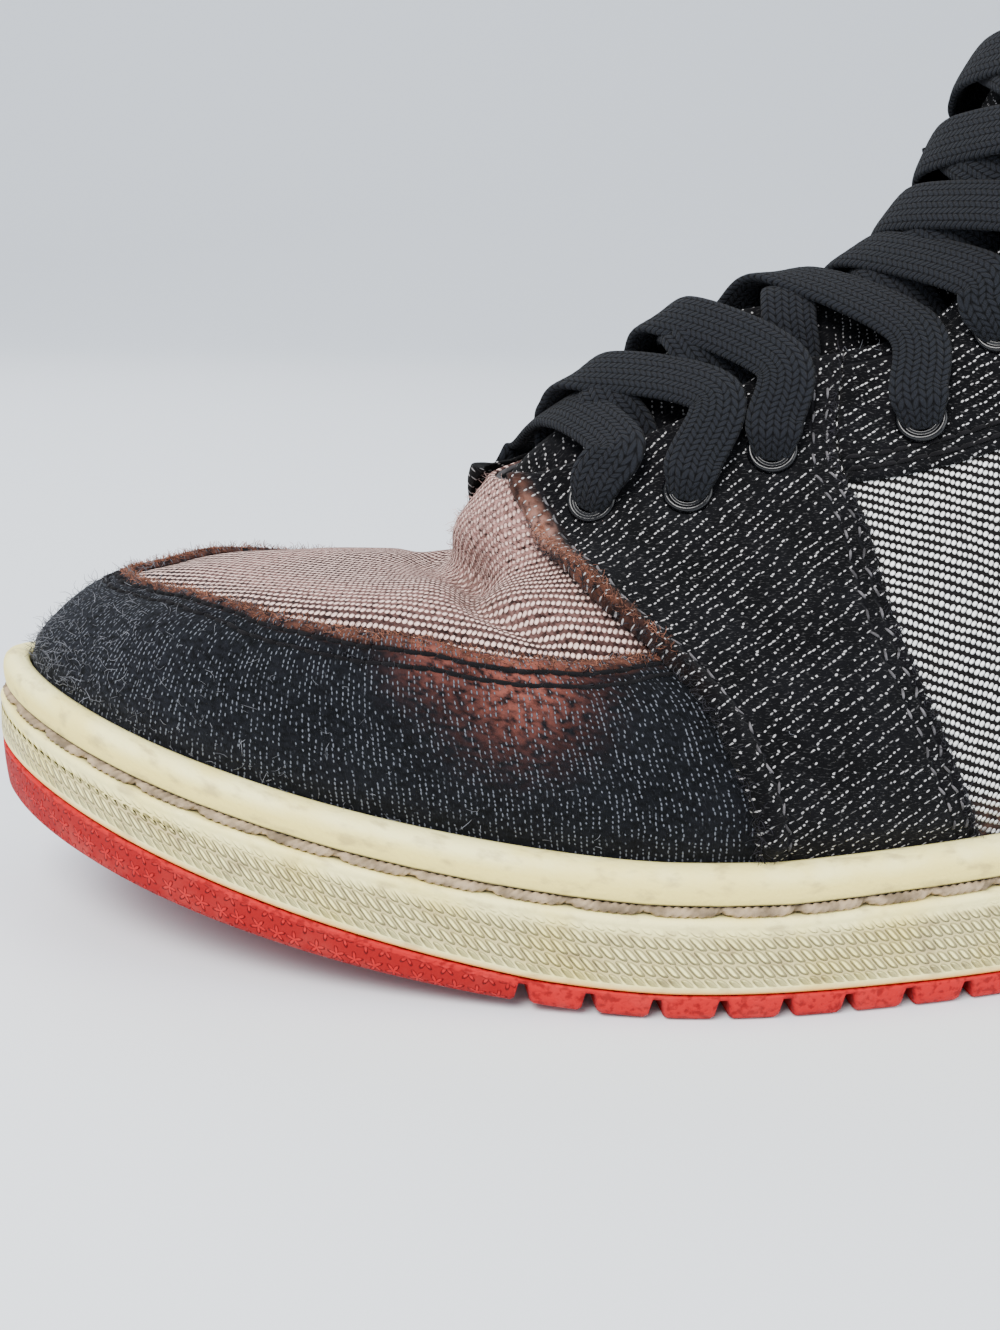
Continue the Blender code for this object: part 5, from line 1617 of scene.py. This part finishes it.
@dataclass
class Lacing:
    """Tongue, eyelets and the flat lace that crosses the throat."""

    tongue_thickness: float = 5 * MM
    tongue_rise: float = 24 * MM
    seat: float = 1.55 * MM
    lace_width: float = 9.6 * MM
    lace_thickness: float = 2.3 * MM
    ring_profile: tuple[tuple[float, float], ...] = (
        (0.0, -1.1), (4.0, -0.6), (4.3, -0.1), (4.35, 0.45), (4.15, 0.9),
        (3.85, 1.12), (3.5, 1.1), (3.25, 0.88),
        (3.05, 0.88), (2.85, 1.1), (2.65, 1.1), (2.5, 0.85), (2.42, 0.3), (2.4, -0.5), (0.0, -0.6))
    tongue_cloth: Denim = Denim("black_denim_tongue", tone(8, 8, 10), tone(150, 148, 148),
                                62.0, 1.5, 0.85, 0.28, 0.11, 0.72)
    braid: LaceBraid = LaceBraid()

    def tongue_net(self) -> Array:
        """Points across the tongue's outer face, one row for each step up the throat."""
        depth = LAST.wall + np.interp(TONGUE_STEPS, [1, 4, 7, 8], [0.7, 1.3, 1.6, 3.4]) * MM
        sides = []
        for level in (6.6, 7.3, 7.95):
            for turn in (1, -1):
                at = turn * TONGUE_STEPS
                sides.append(LAST.surface(at, level) - LAST.normal(at, level) * depth[:, None])
        middle = (sides[4] + sides[5]) / 2
        run = np.gradient(middle, axis=0)
        forward = unit(np.column_stack([-run[:, 2], np.zeros(len(run)), run[:, 0]]))
        middle = middle + forward * TONGUE_ARCH[:, None]
        net = np.stack([*sides[0::2], middle, *sides[5::-2]], axis=1)
        rise = middle[-1] - middle[-3]
        rise = rise * self.tongue_rise / np.linalg.norm(rise)
        spread = net[-1] - middle[-1]
        flatter = middle[-1] + rise * 0.5 + spread * [0.6, 1.0, 0.8]
        top = middle[-1] + rise + spread * [0.35, 0.92, 0.9]
        return np.concatenate([net, [flatter], [top]])

    def _tongue_face(self, u: Array, v: Array) -> Array:
        """Point of the tongue's face at a share across and a share up."""
        net = self.tongue_net()
        rows = along_rows(net, v * (len(net) - 1))
        at = np.clip(u, 0, 1) * (net.shape[1] - 1)
        first = np.clip(np.floor(at).astype(int), 0, net.shape[1] - 2)
        part = (at - first)[..., None]
        ends = np.concatenate([2 * rows[..., :1, :] - rows[..., 1:2, :], rows,
                               2 * rows[..., -1:, :] - rows[..., -2:-1, :]], axis=-2)
        pick = [np.take_along_axis(ends, (first + k)[..., None, None], axis=-2)[..., 0, :] for k in range(4)]
        return blend(*pick, part)

    def build_tongue(self) -> None:
        """Padded tongue: smooth between its net's rows, thinner at the sides and the front."""
        share_u, share_v = np.linspace(0, 1, 61), np.linspace(0, 1, 121)
        u, v = np.meshgrid(share_u, share_v, indexing="ij")
        face = self._tongue_face(u, v)
        normal = unit(np.cross(np.gradient(face, axis=0), np.gradient(face, axis=1)))
        normal = normal * (1.0 if normal[30, 60, 2] > 0 else -1.0)
        edge = 1 - 0.55 * np.abs(2 * u - 1) ** 3
        pad = np.interp(v * 13, [0, 3, 8, 13], [0.35, 0.6, 1.0, 1.0])
        near = np.minimum.reduce([u * 60 * MM, (1 - u) * 60 * MM, (1 - v) * 120 * MM])
        soft = np.sqrt(np.clip(1 - (1 - np.clip(near / (2.5 * MM), 0, 1)) ** 2, 0, 1))
        thick = self.tongue_thickness * edge * pad * (0.15 + 0.85 * soft)
        back = face - normal * (self.tongue_thickness * edge * pad * 0.5 + thick * 0.5)[..., None]
        front = face - normal * ((1 - soft) * 1.2 * MM)[..., None]
        points, faces = closed(front, back)
        uv = flatten_panel(self._tongue_face, np.array([1.0, 0.0, 0.6]), share_u, share_v)
        pale = smooth(v, 0.96, 1.0)
        zero = np.zeros(u.shape)
        worn = {"rust": zero, "pale": pale, "lint": zero}
        values = {key: np.tile(mask.ravel(), 2) for key, mask in worn.items()}
        obj = Piece("tongue_cloth", points, faces, np.tile(uv.reshape(-1, 2), (2, 1)), values)
        made = obj.build([self.tongue_cloth.make()], True)
        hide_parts("tongue")
        LOG.info("tongue_cloth: %d faces", len(made.data.polygons))

    def eyelet(self, number: int, turn: int) -> tuple[Array, Array, Array]:
        """Seat of an eyelet on its cloth, its axis outwards and the way up the throat."""
        station, level = EYELETS[number]
        station = turn * station
        axis = LAST.normal(station, level)
        seat = LAST.skin(np.array(station), np.array(level), self.seat)
        run = LAST.surface(station + turn * 0.05, level) - LAST.surface(station, level)
        return seat, axis, unit(run - axis * run.dot(axis))

    def build_eyelets(self) -> None:
        """Sixteen rolled rings, each a profile turned about its hole."""
        turn_at = np.arange(30) * 2 * math.pi / 30
        profile = np.array(self.ring_profile) * MM
        body = profile[1:-1]
        parts, slots = [], []
        for number in range(len(EYELETS)):
            for turn in (1, -1):
                seat, axis, run = self.eyelet(number, turn)
                side = np.cross(axis, run)
                spokes = run * np.cos(turn_at)[:, None] + side * np.sin(turn_at)[:, None]
                rings = seat + spokes[:, None] * body[None, :, :1] + axis * body[None, :, 1:]
                rows, columns = rings.shape[:2]
                low, high = rows * columns, rows * columns + 1
                ends = [[seat + axis * profile[0, 1]], [seat + axis * profile[-1, 1]]]
                points = np.concatenate([rings.reshape(-1, 3), *ends])
                index = np.arange(rows * columns).reshape(rows, columns)
                after = np.roll(index, -1, axis=0)
                walls = grid_quads(rows, columns, 0, True)
                fan_low = np.column_stack([index[:, 0], after[:, 0], np.full(rows, low)])
                fan_high = np.column_stack([after[:, -1], index[:, -1], np.full(rows, high)])
                parts.append((points, [walls, fan_low, fan_high]))
                # The inner wall of each ring and the cap across its hole take the painted hole shade.
                dark = (np.arange(len(walls)) % (columns - 1)) >= columns - 2
                slots.append(np.concatenate([dark, np.zeros(rows), np.ones(rows)]))
        piece = joined("eyelet_rings", parts)
        piece.slots = np.concatenate(slots)
        made = piece.build([glossy_black(), hole_shade()], False)
        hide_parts(*[f"eyelet_{side}_{n}" for side in ("outer", "inner") for n in range(1, 9)])
        LOG.info("eyelet_rings: %d faces", len(made.data.polygons))

    def throat(self, number: float, clearance: float) -> tuple[Array, Array]:
        """Point above the tongue's middle between two eyelets, and the way up the throat."""
        station = np.interp(number, np.arange(len(EYELETS)), EYELETS[:, 0])
        ridge = self.tongue_net()[:, 3]
        step = np.interp(station, TONGUE_STEPS, np.arange(len(TONGUE_STEPS)))
        place = along_rows(ridge, np.array([step - 0.3, step, step + 0.3]))
        ahead = unit(place[2] - place[0])
        return place[1] + np.array([-ahead[2], 0.0, ahead[0]]) * clearance, ahead

    def _edge(self, number: int, turn: int, lean: float, level: float, lift: float) -> Array:
        """Point by the throat's edge, a share of the pitch past an eyelet."""
        station = EYELETS[number, 0] + lean * np.gradient(EYELETS[:, 0])[number]
        at = np.array(turn * station)
        return LAST.surface(at, level) + LAST.normal(at, level) * lift

    def _into_hole(self, number: int, turn: int, ahead: Array) -> tuple[list[Array], list[Array]]:
        """Points that bring a lace over its eyelet's upper half and down into the hole.

        Their widths turn from up the throat to straight across the way into the hole.
        """
        seat, axis, _ = self.eyelet(number, turn)
        edge = self._edge(number, turn, -0.05, 7.97, 4.0 * MM)
        toward = unit(edge - seat - axis * (edge - seat).dot(axis))
        across = np.cross(axis, toward)
        across = across * (1.0 if across.dot(ahead) > 0 else -1.0)
        points = [edge, seat + toward * 3.8 * MM + axis * 3.0 * MM,
                  seat + toward * 0.9 * MM + axis * 2.0 * MM,
                  seat - toward * 1.2 * MM - axis * 0.2 * MM]
        return points, [unit(ahead + across), across, across, across]

    def strap(self, path: list[Array], widths: list[Array],
              pinch: tuple[bool, bool]) -> tuple[Array, list[Array], Array]:
        """Flat oval swept along a smooth path, gathered where it goes into a hole.

        Args:
            path: Points on its middle line.
            widths: Direction its width turns to at each of them.
            pinch: Whether it narrows at its start and at its end.

        Returns:
            Points, faces and flat pattern.
        """
        line = np.stack(path)
        at = np.linspace(0, len(path) - 1, 16 * (len(path) - 1) + 1)
        centre = along_rows(line, at)
        arc = np.concatenate([[0], np.cumsum(np.linalg.norm(np.diff(centre, axis=0), axis=1))])
        tangent = unit(np.gradient(centre, axis=0))
        places, sides = np.arange(len(path)), np.stack(widths)
        toward = np.stack([np.interp(at, places, sides[:, k]) for k in range(3)], axis=1)
        wide = unit(toward - tangent * (tangent * toward).sum(axis=1, keepdims=True))
        thick = np.cross(tangent, wide)
        ends = [smooth(arc, 0.5 * MM, 5.5 * MM) if pinch[0] else 1.0,
                smooth(arc[-1] - arc, 0.5 * MM, 5.5 * MM) if pinch[1] else 1.0]
        gather = ends[0] * ends[1] * np.ones(len(arc))
        width = self.lace_width * (0.72 + 0.28 * gather) / 2
        height = self.lace_thickness * (1.25 - 0.25 * gather) / 2
        angle = np.arange(20) * 2 * math.pi / 20
        across = np.sign(np.cos(angle)) * np.abs(np.cos(angle)) ** 0.75
        over = np.sign(np.sin(angle)) * np.abs(np.sin(angle)) ** 0.8
        points = centre[:, None] + wide[:, None] * (width[:, None] * across)[..., None]
        points = points + thick[:, None] * (height[:, None] * over)[..., None]
        count = len(angle)
        index = np.arange(len(centre) * count).reshape(-1, count)
        around = np.roll(index, -1, axis=1)
        walls = np.stack([index[:-1], around[:-1], around[1:], index[1:]], axis=-1).reshape(-1, 4)
        faces = [walls, index[:1, ::-1], index[-1:]]
        uv = np.stack(np.broadcast_arrays(arc[:, None], (self.lace_width / 2 * across)[None, :]), axis=-1)
        return points.reshape(-1, 3), faces, uv.reshape(-1, 2)

    def build_laces(self) -> None:
        """The straight first bar, then at each step an under strap and an over strap.

        Each one comes out from under one edge of the throat, crosses the tongue and goes over
        the other edge into the next eyelet.
        """
        under, over = 2.3 * MM, 4.3 * MM
        middle, ahead = self.throat(-0.12, under)
        near, near_widths = self._into_hole(0, 1, ahead)
        far, far_widths = self._into_hole(0, -1, ahead)
        first = near[::-1] + [middle] + far
        straps = [self.strap(first, near_widths[::-1] + [ahead] + far_widths, (True, True))]
        for number in range(len(EYELETS) - 1):
            for turn, clearance in ((-1, under), (1, over)):
                middle, ahead = self.throat(number + 0.5, clearance)
                start = self._edge(number, -turn, 0.05, 7.3, -3.3 * MM)
                brim = self._edge(number, -turn, 0.12, 7.98, -3.0 * MM)
                end, end_widths = self._into_hole(number + 1, turn, ahead)
                rise = brim + (middle - brim) * 0.42 + (middle - (brim + end[0]) / 2) * 0.35
                path = [start, brim, rise, middle, *end]
                straps.append(self.strap(path, [ahead] * 4 + end_widths, (False, True)))
        piece = joined("laces_braid", [(points, faces) for points, faces, _ in straps])
        piece.uv = np.concatenate([uv for _, _, uv in straps])
        made = piece.build([self.braid.make()], False)
        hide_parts("laces")
        LOG.info("laces_braid: %d faces", len(made.data.polygons))

    def build(self) -> None:
        """Builds the tongue, then the eyelets, then the laces."""
        self.build_tongue()
        self.build_eyelets()
        self.build_laces()


@dataclass
class Threads:
    """Loose threads: stitches along the seams, frayed edges and lint."""

    seed: int = 41
    generator: np.random.Generator = field(init=False)

    def __post_init__(self) -> None:
        """Starts the generator."""
        self.generator = np.random.default_rng(self.seed)

    def _along(self, line: Array, places: Array) -> tuple[Array, Array]:
        """Points and directions at distances along a line."""
        arc = np.concatenate([[0], np.cumsum(np.linalg.norm(np.diff(line, axis=0), axis=1))])
        point = np.stack([np.interp(places, arc, line[:, k]) for k in range(3)], axis=1)
        run = unit(np.stack([np.interp(places + 0.5 * MM, arc, line[:, k]) for k in range(3)], axis=1)
                   - np.stack([np.interp(places - 0.5 * MM, arc, line[:, k]) for k in range(3)], axis=1))
        return point, run

    def stitches(self, lines: Sequence[Array], pitch: float, length: float,
                 radius: float) -> MeshPart:
        """Short threads along seam lines, their middles proud of the cloth and their ends in it."""
        paths = []
        for line in lines:
            total = np.linalg.norm(np.diff(line, axis=0), axis=1).sum()
            places = np.arange(pitch, total - pitch, pitch)
            point, run = self._along(line, places)
            away = unit(point - (LAST.middle + np.array([0, 0, 0.045])))
            share = np.linspace(-0.5, 0.5, 5)
            arch = 0.35 * MM * (1 - (2 * share) ** 4) - 0.1 * MM
            along = run[:, None] * (share * length)[None, :, None]
            paths.append(point[:, None] + along + away[:, None] * arch[None, :, None])
        every = np.concatenate(paths)
        shape = radius * np.array([0.5, 0.95, 1.0, 0.95, 0.5])
        return rods(every, np.tile(shape, (len(every), 1)), 5)

    def fibres(self, points: Array, away: Array, lean: Array, length: tuple[float, float], radius: float,
               curl: float) -> MeshPart:
        """Thin curly fibres from points on the cloth.

        Each one runs along its own random direction, mixed with a leaning one, and bends by a
        random arch of half a sine wave.
        """
        count = len(points)
        loose = self.generator.normal(size=(count, 3))
        run = unit(unit(loose) * curl + lean + away * self.generator.uniform(0.0, 0.5, (count, 1)))
        bend = np.cross(run, unit(self.generator.normal(size=(count, 3))))
        reach = self.generator.uniform(*length, (count, 1, 1))
        share = np.linspace(0, 1, 4)[None, :, None]
        arch = np.sin(math.pi * share) * reach * self.generator.uniform(0.1, 0.45, (count, 1, 1))
        paths = points[:, None] + run[:, None] * reach * share + bend[:, None] * arch
        shape = radius * np.array([1.0, 1.0, 0.8, 0.4])
        thick = self.generator.uniform(0.7, 1.3, (count, 1)) * shape
        return rods(paths, thick, 3)

    def _scatter(self, line: Array, count: int) -> tuple[Array, Array]:
        """Random points and directions along a line."""
        total = np.linalg.norm(np.diff(line, axis=0), axis=1).sum()
        return self._along(line, self.generator.uniform(0.5 * MM, total - 0.5 * MM, count))

    def _make(self, name: str, parts: Sequence[MeshPart], cloth: PlainCloth) -> None:
        """Joins threads into one piece."""
        made = joined(name, parts).build([cloth.make()], False)
        LOG.info("%s: %d faces", name, len(made.data.polygons))

    def build(self, overlays: Overlays) -> None:
        """Builds the stitches, the frayed edges and the lint."""
        guard, stays, panels, counter = overlays.guard, overlays.stays, overlays.panels, overlays.counter
        dark = [guard.line("top", 2.7 * MM), guard.line("top", 5.0 * MM)]
        pale = []
        for turn in (1, -1):
            pale += [stays[turn].line("front", 5.2 * MM)[4:-4], stays[turn].line("rear", 2.0 * MM)[4:-4],
                     stays[turn].line("rear", 4.3 * MM)[4:-4]]
            dark += [panels[turn].line("foot", 2.0 * MM), panels[turn].line("foot", 4.2 * MM)]
        dark.append(counter.line("top", 2.0 * MM))
        self._make("seam_stitches_dark", [self.stitches(dark, 2.6 * MM, 2.7 * MM, 0.42 * MM)],
                   PlainCloth("dark_thread", tone(16, 15, 17), 0.3))
        self._make("seam_stitches_pale", [self.stitches(pale, 3.9 * MM, 1.9 * MM, 0.24 * MM)],
                   PlainCloth("pale_thread", tone(84, 82, 84), 0.6))
        self._frays(guard, stays, panels)

    def _frays(self, guard: Sheet, stays: dict[int, Sheet], panels: dict[int, Sheet]) -> None:
        """Frayed raw edges and lint, in a rusty, a pale and a dark piece."""
        rusty, light, black = [], [], []
        middle = LAST.middle + np.array([0, 0, 0.045])

        def tuft(group: list[MeshPart], line: Array, count: int, length: tuple[float, float],
                 radius: float, curl: float, up: float) -> None:
            """Adds fibres to a group, scattered along a line."""
            points, run = self._scatter(line, count)
            away = unit(points - middle)
            lean = unit(np.cross(run, away)) * up
            group.append(self.fibres(points - away * 0.2 * MM, away, lean, length, radius, curl))

        top = guard.line("top", 0.6 * MM)
        tuft(rusty, top, 1700, (0.6 * MM, 1.9 * MM), 0.055 * MM, 0.9, 0.25)
        tuft(rusty, guard.line("top", 1.6 * MM), 1300, (0.6 * MM, 1.6 * MM), 0.055 * MM, 1.0, 0.1)
        tuft(light, top, 260, (1.0 * MM, 2.4 * MM), 0.05 * MM, 1.0, 0.2)
        tuft(black, guard.line("top", 2.4 * MM), 900, (0.6 * MM, 1.6 * MM), 0.07 * MM, 1.0, 0.0)
        tuft(black, guard.line("top", 4.6 * MM), 700, (0.6 * MM, 1.6 * MM), 0.07 * MM, 1.0, 0.0)
        for turn in (1, -1):
            front, rear = stays[turn].line("front", 0.5 * MM)[:-18], stays[turn].line("rear", 0.5 * MM)
            tuft(black, front, 550, (0.9 * MM, 2.8 * MM), 0.06 * MM, 0.9, 0.3)
            rolled = stays[turn].line("front", 2.3 * MM)[58:-18]
            tuft(rusty, rolled, 420, (0.8 * MM, 2.2 * MM), 0.05 * MM, 1.0, 0.0)
            tuft(black, rear, 600, (0.9 * MM, 2.8 * MM), 0.06 * MM, 0.9, -0.4)
            tuft(light, panels[turn].line("top", 0.6 * MM), 260, (0.8 * MM, 2.2 * MM), 0.05 * MM, 1.0, 0.4)
        station = self.generator.normal(-0.4, 1.7, 1500)
        level = np.abs(self.generator.normal(0.9, 0.8, 1500)).clip(0.05, 2.6)
        points = LAST.skin(station, level, 1.1 * MM)
        away = LAST.normal(station, level)
        light.append(self.fibres(points, away * 0.3, away * 0.0, (0.9 * MM, 3.0 * MM), 0.05 * MM, 1.0))
        station = self.generator.normal(0.8, 1.6, 900)
        level = self.generator.normal(6.8, 0.6, 900).clip(5.0, 7.9)
        points = LAST.skin(station, level, 0.05 * MM)
        away = LAST.normal(station, level)
        pink = [self.fibres(points, away * 0.4, away * 0.0, (0.7 * MM, 2.0 * MM), 0.045 * MM, 1.0)]
        self._make("fray_rusty", rusty, PlainCloth("rusty_fibre", tone(128, 84, 66), 0.5))
        self._make("fray_pale", light, PlainCloth("pale_fibre", tone(98, 99, 104), 0.5))
        self._make("fray_dark", black, PlainCloth("dark_fibre", tone(36, 35, 40), 0.4))
        self._make("fray_pink", pink, PlainCloth("pink_fibre", tone(178, 148, 142), 0.4))


@dataclass
class Studio:
    """Pale seamless floor, soft light and the photograph's camera."""

    azimuth: float = -8.0
    elevation: float = 15.3
    roll: float = 0.9
    distance: float = 0.304
    target: tuple[float, float, float] = (-0.060, 0.0, 0.0456)
    lens: float = 45.61
    backdrop: Colour = tone(222, 226, 231)

    def _axes(self) -> tuple[Array, Array, Array]:
        """The camera's right, up and back directions."""
        a, e, r = (math.radians(angle) for angle in (self.azimuth, self.elevation, self.roll))
        back = np.array([math.sin(a) * math.cos(e), -math.cos(a) * math.cos(e), math.sin(e)])
        right = unit(np.cross([0.0, 0.0, 1.0], back))
        up = np.cross(back, right)
        return right * math.cos(r) + up * math.sin(r), up * math.cos(r) - right * math.sin(r), back

    def camera(self) -> None:
        """Places the camera."""
        right, up, back = self._axes()
        place = np.array(self.target) + back * self.distance
        data = bpy.data.cameras.new("photo_camera")
        data.sensor_fit = "AUTO"
        data.sensor_width = 36.0
        data.lens = self.lens
        data.clip_start = 0.01
        camera = bpy.data.objects.new("photo_camera", data)
        matrix = np.eye(4)
        matrix[:3] = np.column_stack([right, up, back, place])
        camera.matrix_world = Matrix(matrix.tolist())
        bpy.context.scene.collection.objects.link(camera)
        bpy.context.scene.camera = camera

    def floor(self) -> None:
        """Floor that curves up into a wall far behind."""
        angle = np.linspace(0, math.pi / 2, 24)
        y = np.concatenate([[-4.0, -1.0, 0.0, 1.2], 1.2 + 1.0 * np.sin(angle[1:]), [2.2]])
        z = np.concatenate([[0.0, 0.0, 0.0, 0.0], 1.0 - np.cos(angle[1:]), [4.0]])
        x = np.array([-5.0, 5.0])
        points = np.stack([*np.broadcast_arrays(x[:, None], y[None, :], z[None, :])], axis=-1)
        mesh = bpy.data.meshes.new("floor")
        mesh.from_pydata(points.reshape(-1, 3).tolist(), [], grid_quads(2, len(y))[:, ::-1].tolist())
        mesh.polygons.foreach_set("use_smooth", np.ones(len(mesh.polygons), bool))
        material, _, shader = surface_of("backdrop", 0.95, 0.1)
        shader.inputs["Base Color"].default_value = (*self.backdrop, 1.0)
        mesh.materials.append(material)
        obj = bpy.data.objects.new("floor", mesh)
        bpy.context.scene.collection.objects.link(obj)

    def _panel(self, name: str, place: Sequence[float], size: float, power: float, colour: Colour) -> None:
        """A square soft light that faces the shoe."""
        data = bpy.data.lights.new(name, "AREA")
        data.size = size
        data.energy = power
        data.color = colour
        light = bpy.data.objects.new(name, data)
        back = unit(np.array(place) - np.array([0.0, 0.0, 0.05]))
        right = unit(np.cross([0.0, 1.0, 0.3], back))
        matrix = np.eye(4)
        matrix[:3] = np.column_stack([right, np.cross(back, right), back, np.array(place)])
        light.matrix_world = Matrix(matrix.tolist())
        bpy.context.scene.collection.objects.link(light)

    def light(self) -> None:
        """Even sky, a wide key light over the camera's left shoulder and a fill."""
        world = bpy.data.worlds.new("sky")
        world.use_nodes = True
        sky = world.node_tree.nodes["Background"]
        sky.inputs["Color"].default_value = (*tone(226, 232, 240), 1.0)
        sky.inputs["Strength"].default_value = 1.5
        bpy.context.scene.world = world
        self._panel("key_light", (-0.55, -0.8, 1.1), 0.7, 36.0, (1.0, 0.985, 0.96))
        self._panel("fill_light", (0.9, -0.7, 0.6), 0.9, 9.0, (0.96, 0.98, 1.0))
        self._panel("rim_light", (-0.4, 0.9, 0.8), 0.6, 5.0, (1.0, 1.0, 1.0))

    def build(self) -> None:
        """Sets up the whole studio."""
        self.floor()
        self.camera()
        self.light()


def main() -> None:
    """Dresses the shoe, from the sole up, and sets the studio round it."""
    logging.basicConfig(level=logging.INFO, format="%(name)s %(message)s")
    Sole().build()
    Upper().build()
    overlays = Overlays()
    overlays.build()
    Lacing().build()
    Threads().build(overlays)
    Studio().build()


if __name__ == "__main__":
    main()
